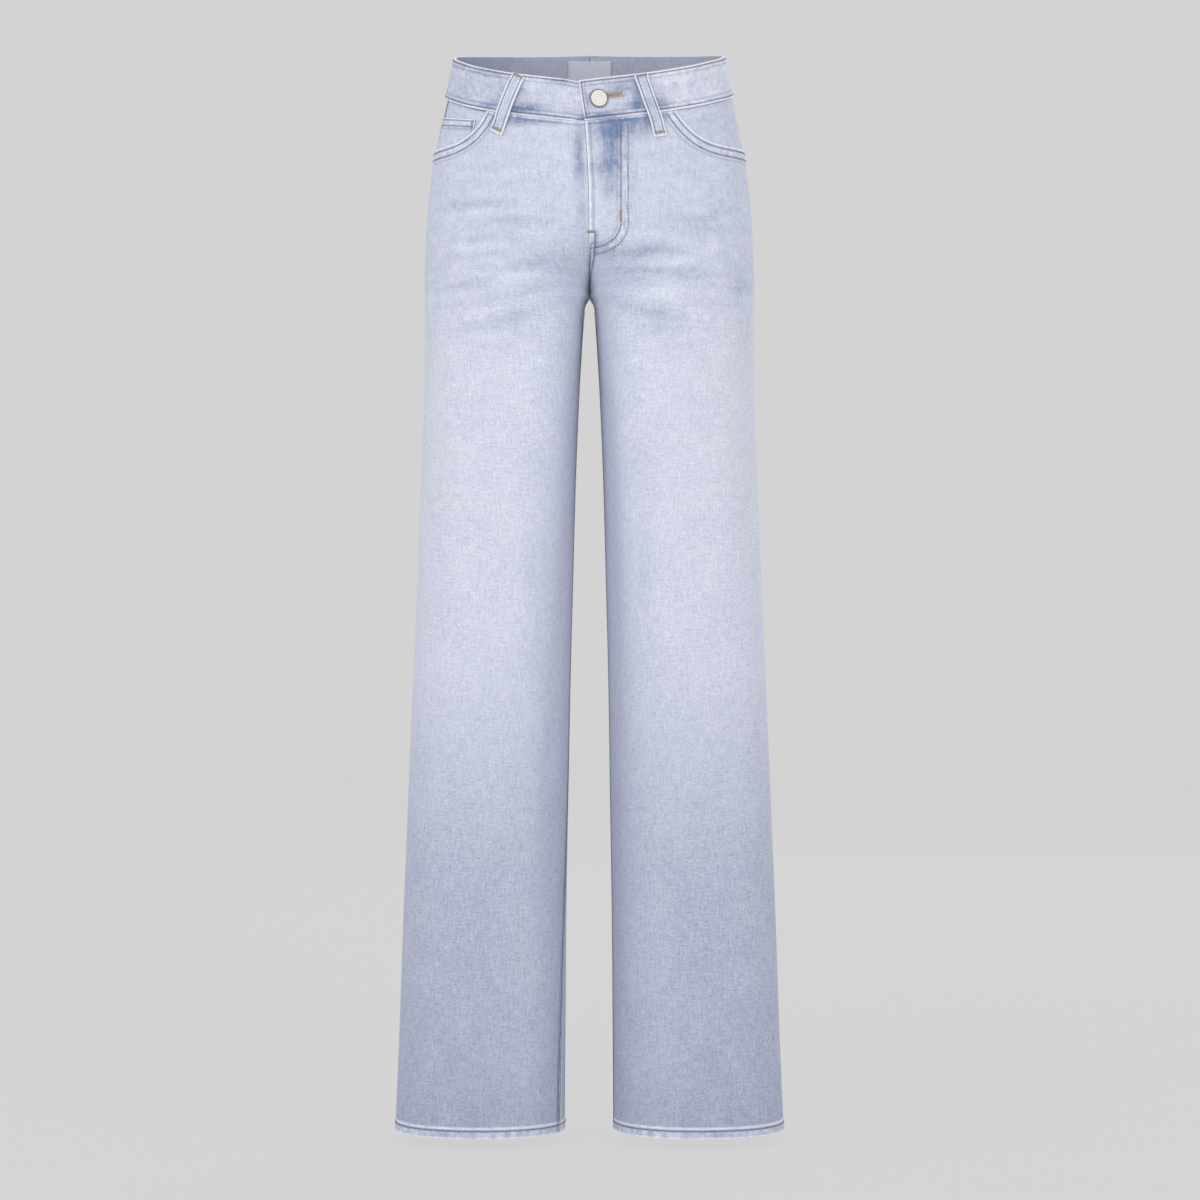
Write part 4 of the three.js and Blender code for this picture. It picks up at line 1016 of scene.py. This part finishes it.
PATCH_MIDDLE, PATCH_TOP, PATCH_TALL, PATCH_POINT = 83.0, -90.0, 102.0, 14.0
PATCH_HALF, PATCH_FOOT_HALF = 63.0, 55.0
PATCH_LEAN = math.tan(math.radians(3))
PATCH_LIFT = LAYER + CLOTH
PATCH_ROWS, PATCH_MOUTH_ROWS = (1.6, 7.6), (3.0, 12.0)
patch_denim = woven("denim_back_pocket", DENIM, (
    ("from_mouth", 14.0, PATCH_MOUTH_ROWS, 0.9), ("from_edge", 9.0, PATCH_ROWS, 1.0)))


def on_patch(side, out, down):
    """The turn and height of a place on a pocket: how far outwards from its middle line and down."""
    z = PATCH_TOP - down + PATCH_LEAN * out
    return walk(side, turn_at_x(z, PATCH_MIDDLE + PATCH_LEAN * down, 1), z, -out), z


def patch_row(inset):
    """Places along a row beside the pocket's edge: down one side, round the foot and up the other."""
    narrow = (PATCH_HALF - PATCH_FOOT_HALF) / PATCH_TALL
    foot = PATCH_TALL - 0.8 * inset
    corners = ((inset - PATCH_HALF, 1.0), (inset - PATCH_HALF + narrow * foot, foot),
               (0.0, PATCH_TALL + PATCH_POINT - 1.03 * inset))
    corners += tuple((-out, down) for out, down in corners[1::-1])
    at = np.linspace(0, 4, 161)
    return np.interp(at, range(5), [c[0] for c in corners]), np.interp(at, range(5), [c[1] for c in corners])


for word, side in HALVES:
    across = np.linspace(-1, 1, 57)[None, :]
    foot = PATCH_TALL + PATCH_POINT * (1 - np.abs(across))
    down = foot * np.linspace(1, 0, 58)[:, None]
    half = PATCH_HALF - (PATCH_HALF - PATCH_FOOT_HALF) * np.minimum(down / PATCH_TALL, 1)
    turns, heights = on_patch(side, across * half, down)
    from_edge = np.minimum(half * (1 - np.abs(across)), (foot - down) * 0.97)
    patch = lay("back_" + word + "_pocket", side, turns, heights, PATCH_LIFT, (patch_denim, wrong_side),
                {"from_mouth": down, "from_edge": from_edge}, tone=0.04)
    rows = []
    for inset in PATCH_ROWS:
        t, z = on_patch(side, *patch_row(inset))
        rows.append((side, t, z, PATCH_LIFT))
    for gap in PATCH_MOUTH_ROWS:
        t, z = on_patch(side, np.linspace(1 - PATCH_HALF, PATCH_HALF - 1, 60), np.full(60, gap))
        rows.append((side, t, z, PATCH_LIFT))
    stitches = sew("back_" + word + "_pocket_stitching", rows, topstitch)
    at_corner = PATCH_HALF - 3
    corners = [on_patch(side, np.full(12, out), np.linspace(0.6, 9, 12)) for out in (-at_corner, at_corner)]
    tacks = sew("back_" + word + "_pocket_tacks", [(side, t, z, PATCH_LIFT) for t, z in corners], tack_thread,
                **TACK)
    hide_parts("back_pocket_" + word)
    "back_" + word + "_leg"

# Waistband
# A strip folded double over the top of the jeans, in two halves that meet at the centre back. The left
# half closes over the right, and a slit in it edged with close stitches takes the button.

BAND_LIFT, BAND_WALL = 1.4, 3.0
UNDER_DROP = BAND_WALL + LAYER
BUTTON_X, BUTTON_Z = 8.0, -33.0
band_denim = woven("denim_waistband", DENIM, (
    ("from_edge", 5.0, (2.4,), 1.1), ("from_end", 4.0, (2.4,), 1.0), ("from_hole", 3.0, (), 0.8)),
    mottled=3.2)


def on_band(side, mm, share, v):
    """Turns and heights on the band: millimetres from the fly, then a share of the rest to the back."""
    mm, share, v = np.broadcast_arrays(*(np.asarray(value, dtype=float) for value in (mm, share, v)))
    z = np.full(mm.shape, BUTTON_Z)
    for _ in range(10):
        near = walk(side, turn_at_x(z, side * fly_edge(z), -1), z, mm)
        turn = near + (inner_edge(side, z, 1) - near) * share
        z = band_top(side, turn) - BAND_HEIGHT * (1 - v)
    return turn, z


def band_lift(side, mm, share):
    """The outer face of the band. The end of the right half goes down under the left one."""
    dip = UNDER_DROP * smooth((13 - np.asarray(mm)) / 11.5) if side < 0 else 0.0
    return BAND_LIFT - np.where(np.asarray(share) > 0, 0, dip)


SLIT_LEVEL, SLIT_START, SLIT_END = 0.545, 13.0, 38.6
for word, side in HALVES:
    near = np.linspace(-38, 20, 30) if side < 0 else np.concatenate((
        np.linspace(0.15, SLIT_START, 10), np.linspace(SLIT_START, SLIT_END, 17)[1:], (39.4, 40.2)))
    mm = np.concatenate((near, np.full(110, near[-1])))
    share = np.concatenate((0 * near, np.linspace(0, 1, 111)[1:]))
    levels = np.concatenate((np.linspace(0, SLIT_LEVEL - 0.012, 10), np.linspace(SLIT_LEVEL + 0.012, 1, 9)))
    turns, heights = on_band(side, mm[None, :], share[None, :], levels[:, None])
    points = place(side, turns, heights)[0]
    x = points[..., 0] / MM
    slit_line = place(side, *on_band(side, np.linspace(SLIT_START, SLIT_END, 20), 0, SLIT_LEVEL))[0]
    from_hole = distance_to(points, slit_line) if side > 0 else FAR
    marks = {"from_edge": np.minimum(levels, 1 - levels)[:, None] * BAND_HEIGHT, "from_hole": from_hole,
             "from_end": np.where(share > 0, FAR, mm)[None, :] if side > 0 else FAR}
    tone = 0.04 + 0.1 * smooth((x - 60) / 30) - 0.09 * smooth((-x - 50) / 40)
    last = len(near) - 3
    half = lay(word + "_waistband", side, turns, heights, band_lift(side, mm, share)[None, :],
               (band_denim, wrong_side), marks, wall=BAND_WALL, tone=tone, along=False, soft=0.9,
               slit=(9, 9, last) if side > 0 else None)
    start = 14.0 if side < 0 else 2.2
    row_mm = np.concatenate((np.linspace(start, 40, 12), np.full(120, 40.0)))
    row_share = np.concatenate((np.zeros(12), np.linspace(0.004, 0.998, 120)))
    rows = []
    for level in (0.055, 0.945):
        t, z = on_band(side, row_mm, row_share, level)
        rows.append((side, t, z, band_lift(side, row_mm, row_share)))
    if side > 0:
        t, z = on_band(side, 2.2, 0, np.linspace(0.055, 0.945, 20))
        rows.append((side, t, z, BAND_LIFT))
    stitches = sew(word + "_waistband_stitching", rows, topstitch)
    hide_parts("waistband_" + word)
    "front_" + word + "_leg"
    word + "_yoke"

rows = []
for level in (SLIT_LEVEL - 0.045, SLIT_LEVEL + 0.045):
    t, z = on_band(1, np.linspace(SLIT_START, SLIT_END, 40), 0, level)
    rows.append((1, t, z, BAND_LIFT))
t, z = on_band(1, SLIT_END + 1.2, 0, np.linspace(SLIT_LEVEL - 0.07, SLIT_LEVEL + 0.07, 8))
rows.append((1, t, z, BAND_LIFT))
hole_thread = spun("buttonhole_thread", linear(164, 142, 134), linear(212, 189, 177))
hole_edge = sew("buttonhole_edge", rows, hole_thread, pitch=0.62, size=(0.66, 3.0, 0.8), lift=0.15)

# Back label
# A small woven label of grey satin, left blank. It lies inside the back of the waistband, and is sewn
# down by its two ends.

satin = woven("label_satin", ((0.0, linear(186, 189, 202)), (1.0, linear(222, 224, 233))), coarse=0.35,
              mottled=0.3)
LABEL_LIFT = BAND_LIFT - BAND_WALL - LAYER
LABEL_HALF, LABEL_TALL = 22.5, 24
label_top = float(band_top(1, np.array(math.pi / 2))) - 6
label_x = np.linspace(-LABEL_HALF, LABEL_HALF, 31)[None, :]
label_z = label_top - LABEL_TALL * np.linspace(1, 0, 17)[:, None] + 0 * label_x


def from_back(x, z):
    """The side and turn of a place on the back, from its distance along the cloth from the middle."""
    side = np.where(x < 0, -1, 1)
    return side, walk(side, turn_at_x(z, 0 * z, 1), z, -np.abs(x))


sides, turns = from_back(np.broadcast_to(label_x, label_z.shape), label_z)
label = lay("blank_label", sides, turns, label_z, LABEL_LIFT, (satin,), wall=THIN)
z = np.linspace(label_top - LABEL_TALL + 1, label_top - 1, 24)
ends = [(*from_back(np.full(24, x), z), z, LABEL_LIFT - THIN) for x in (1.2 - LABEL_HALF, LABEL_HALF - 1.2)]
label_stitches = sew("label_stitching", ends, topstitch, pitch=2.2, size=(1.7, 0.5, 0.5), lift=0.0)
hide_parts("back_label")

# Belt loops
# Five folded strips of denim, 13 mm wide, with a row of stitches along each edge. Their ends are turned
# under and tacked through the band at the top and through the leg or the yoke below it.

LOOP_WIDTH, LOOP_BELOW, LOOP_LONG = 13.0, 24.0, 65.0
LOOP_ROW, LOOP_TACK = 4.2, 5.4
# share of the way down, how far the underside stands off, thickness
LOOP_STEPS = (
    (0, 1.85, 2.6), (0.07, 1.95, 2.5), (0.17, 3.7, 1.6), (0.36, 4.3, 1.6), (0.56, 4.2, 1.6),
    (0.74, 3.5, 1.6), (0.87, 1.5, 1.9), (0.93, 0.55, 2.5), (1, 0.55, 2.5))
# node, side, whether it is measured from the fly, and how far along the cloth its top and foot are
LOOPS = (
    ("belt_loop_front_right", -1, True, 57.0, 89.0), ("belt_loop_front_left", 1, True, 60.0, 73.0),
    ("belt_loop_back_right", -1, False, 101.0, 104.0), ("belt_loop_back_left", 1, False, 101.0, 104.0),
    ("belt_loop_back", 1, False, 0.0, 0.0))
loop_denim = woven("denim_loop", DENIM, (("from_edge", 4.0, (2.3,), 1.2), ("from_end", 4.0, (), 0.9)))
loop_down = np.linspace(0.025, 1, 41)
loop_under = read(LOOP_STEPS, loop_down)
loop_wall = read(LOOP_STEPS, loop_down, 2)
for node, side, by_fly, top_mm, foot_mm in LOOPS:
    def spot(mm, z):
        if by_fly:
            return side, walk(side, turn_at_x(z, side * fly_edge(z), -1), z, mm)
        return from_back(side * mm, z)

    def top_at(mm):
        return float(band_top(side, spot(np.array(mm), np.array(0.0))[1]))

    foot_z = top_at(foot_mm) - BAND_HEIGHT - LOOP_BELOW
    run = np.array((foot_mm - top_mm, foot_z - top_at(top_mm)))
    over = np.array((-run[1], run[0])) / np.hypot(*run)

    def on_loop(share, across):
        mm = top_mm + run[0] * share + over[0] * across
        z = top_at(top_mm) + run[1] * share + over[1] * across
        sides, turns = spot(mm, z)
        return sides, turns, z

    across = np.linspace(-0.5, 0.5, 9)[None, :] * LOOP_WIDTH
    down = loop_down[::-1, None]
    sides, turns, heights = on_loop(down, across)
    under, wall = loop_under[::-1, None], loop_wall[::-1, None]
    marks = {"from_edge": LOOP_WIDTH / 2 - np.abs(across), "from_end": np.minimum(down, 1 - down) * LOOP_LONG}
    loop = lay(node + "_strip", sides, turns, heights, under + wall, (loop_denim, wrong_side), marks,
               wall=wall + 0 * across, tone=0.2, soft=0.5)
    rows = []
    for off in (-LOOP_ROW, LOOP_ROW):
        share = np.linspace(0.03, 0.97, 40)
        rows.append((*on_loop(share, np.full(40, off)), np.interp(share, loop_down, loop_under + loop_wall)))
    stitches = sew(node + "_stitching", rows, topstitch, lift=0.1)
    rows = []
    for share in (0.05, 0.94):
        lift = float(np.interp(share, loop_down, loop_under + loop_wall))
        rows.append((*on_loop(np.full(12, share), np.linspace(-LOOP_TACK, LOOP_TACK, 12)), lift))
    tacks = sew(node + "_tacks", rows, tack_thread, lift=0.15, **TACK)
    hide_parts(node)

# Button
# A shank button of cream enamel in a thin dark rim, blank, 18.6 mm across. Its neck comes up through
# the slit and stands on the under band. It leans to the wearer's left.

HEAD = UNDER_DROP + 1.3
BUTTON_LEAN = math.radians(12)
RIM_START = 7.95
# distance from the axis, height
BUTTON_PROFILE = ((0, 0), (2.4, 0), (2.4, HEAD), (8.1, HEAD), (9.1, HEAD + 0.5), (9.3, HEAD + 1.1),
                  (9.1, HEAD + 1.8), (8.6, HEAD + 2.3), (8.1, HEAD + 2.15), (7.7, HEAD + 2.3),
                  (5.5, HEAD + 2.55), (2.8, HEAD + 2.68), (0, HEAD + 2.7))
bm = bmesh.new()
line = [bm.verts.new((r * MM, 0, up * MM)) for r, up in BUTTON_PROFILE]
edges = [bm.edges.new(pair) for pair in zip(line[:-1], line[1:])]
bmesh.ops.spin(bm, geom=line + edges, cent=(0, 0, 0), axis=(0, 0, 1), angle=2 * math.pi, steps=64,
               use_merge=True)
bmesh.ops.remove_doubles(bm, verts=bm.verts[:], dist=0.00001)
bmesh.ops.recalc_face_normals(bm, faces=bm.faces[:])
button_mesh = as_mesh(bm, "button")
button_turn = turn_at_x(np.array(BUTTON_Z), np.array(BUTTON_X), -1)
foot, out = place(1, button_turn, np.array(BUTTON_Z), BAND_LIFT - UNDER_DROP + LAYER)
out = np.array((out[0] * math.cos(BUTTON_LEAN) - out[1] * math.sin(BUTTON_LEAN),
                out[0] * math.sin(BUTTON_LEAN) + out[1] * math.cos(BUTTON_LEAN), out[2]))
across = np.cross((0, 0, 1), out)
across /= np.linalg.norm(across)
axes = np.stack((across, np.cross(out, across), out))
shape = np.empty(len(button_mesh.vertices) * 3)
button_mesh.vertices.foreach_get("co", shape)
button_mesh.vertices.foreach_set("co", (shape.reshape(-1, 3) @ axes + foot).ravel())
rim = button_mesh.attributes.new("from_axis", "FLOAT", "POINT")
rim.data.foreach_set("value", np.hypot(*shape.reshape(-1, 3)[:, :2].T) / MM)
button_mesh.update()
button_mesh.shade_smooth()
enamel, enamel_shader, shade = new_finish("cream_enamel", 0.32)
from_axis = shade.node("Attribute", {"attribute_name": "from_axis"}, out=2)
cloudy = shade.node("TexNoise", {}, {"Vector": shade.node("TexCoord", out=3), "Scale": 260.0, "Detail": 2.0})
middle = from_axis.below(RIM_START, 0.15)
tint = shade.node("ValToRGB", {"stops": ((0.3, linear(214, 212, 207)), (0.7, linear(229, 228, 224)))},
                  {"Fac": cloudy})
mixed = shade.node("Mix", {"data_type": "RGBA"}, {0: middle, 6: (*linear(116, 112, 112), 1), 7: tint}, out=2)
mixed.drive(enamel_shader, "Base Color")
button = new_piece("enamel_button", button_mesh, (enamel,))
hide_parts("shank_button")

# Floor, light and camera
# A plain pale studio floor under soft, even light. The jeans are seen square on from 3.5 m away, at
# mid-height.

PALE = 0.651
FLOOR_Z = HEM_Z * MM - 0.012
FLOOR_RADIUS = 9.0
EYE = (0.0105, -3.5, -0.52)
world = bpy.data.worlds.new("studio")
bpy.context.scene.world = world
world.use_nodes = True
world.node_tree.nodes["Background"].inputs["Color"].default_value = (PALE, PALE, PALE, 1)

bm = bmesh.new()
bmesh.ops.create_circle(bm, cap_ends=True, segments=96, radius=FLOOR_RADIUS)
bmesh.ops.translate(bm, verts=bm.verts[:], vec=(0, 0, FLOOR_Z))
floor_mesh = as_mesh(bm, "floor")
floor_finish, floor_shader, shade = new_finish("studio_floor", 1.0, 0.0)
spread = shade.node("TexNoise", {}, {"Vector": shade.node("TexCoord", out=3), "Scale": 3.0})
(spread * 0.003 + 0.048).drive(floor_shader, "Base Color")
floor_shader.inputs["Emission Color"].default_value = (PALE, PALE, PALE, 1)
floor_shader.inputs["Emission Strength"].default_value = 0.94
floor_mesh.materials.append(floor_finish)
put("floor", floor_mesh)


def soft_light(name, spot, size, power):
    light = bpy.data.lights.new(name, "AREA")
    light.shape = "SQUARE"
    light.size = size
    light.energy = power
    lamp = put(name, light)
    lamp.location = spot
    aim = np.array((0, 0, -0.5)) - np.array(spot)
    lamp.rotation_euler = (math.atan2(np.hypot(aim[0], aim[1]), -aim[2]), 0, math.atan2(-aim[0], aim[1]))


soft_light("key", (-2.0, -3.4, 0.9), 2.6, 52)
soft_light("fill", (2.2, -3.2, -0.1), 2.6, 36)
soft_light("left_side", (-3.2, -0.8, -0.4), 2.2, 16)
soft_light("right_side", (3.2, -0.8, -0.4), 2.2, 14)
soft_light("behind", (1.4, 3.4, 1.6), 2.4, 46)

camera = bpy.data.cameras.new("camera")
camera.sensor_width = 36
camera.lens = 105
camera.clip_end = 60
eye = put("camera", camera)
eye.location = EYE
eye.rotation_euler = (math.radians(90), 0, 0)
bpy.context.scene.camera = eye
bpy.context.scene.view_settings.view_transform = "Standard"
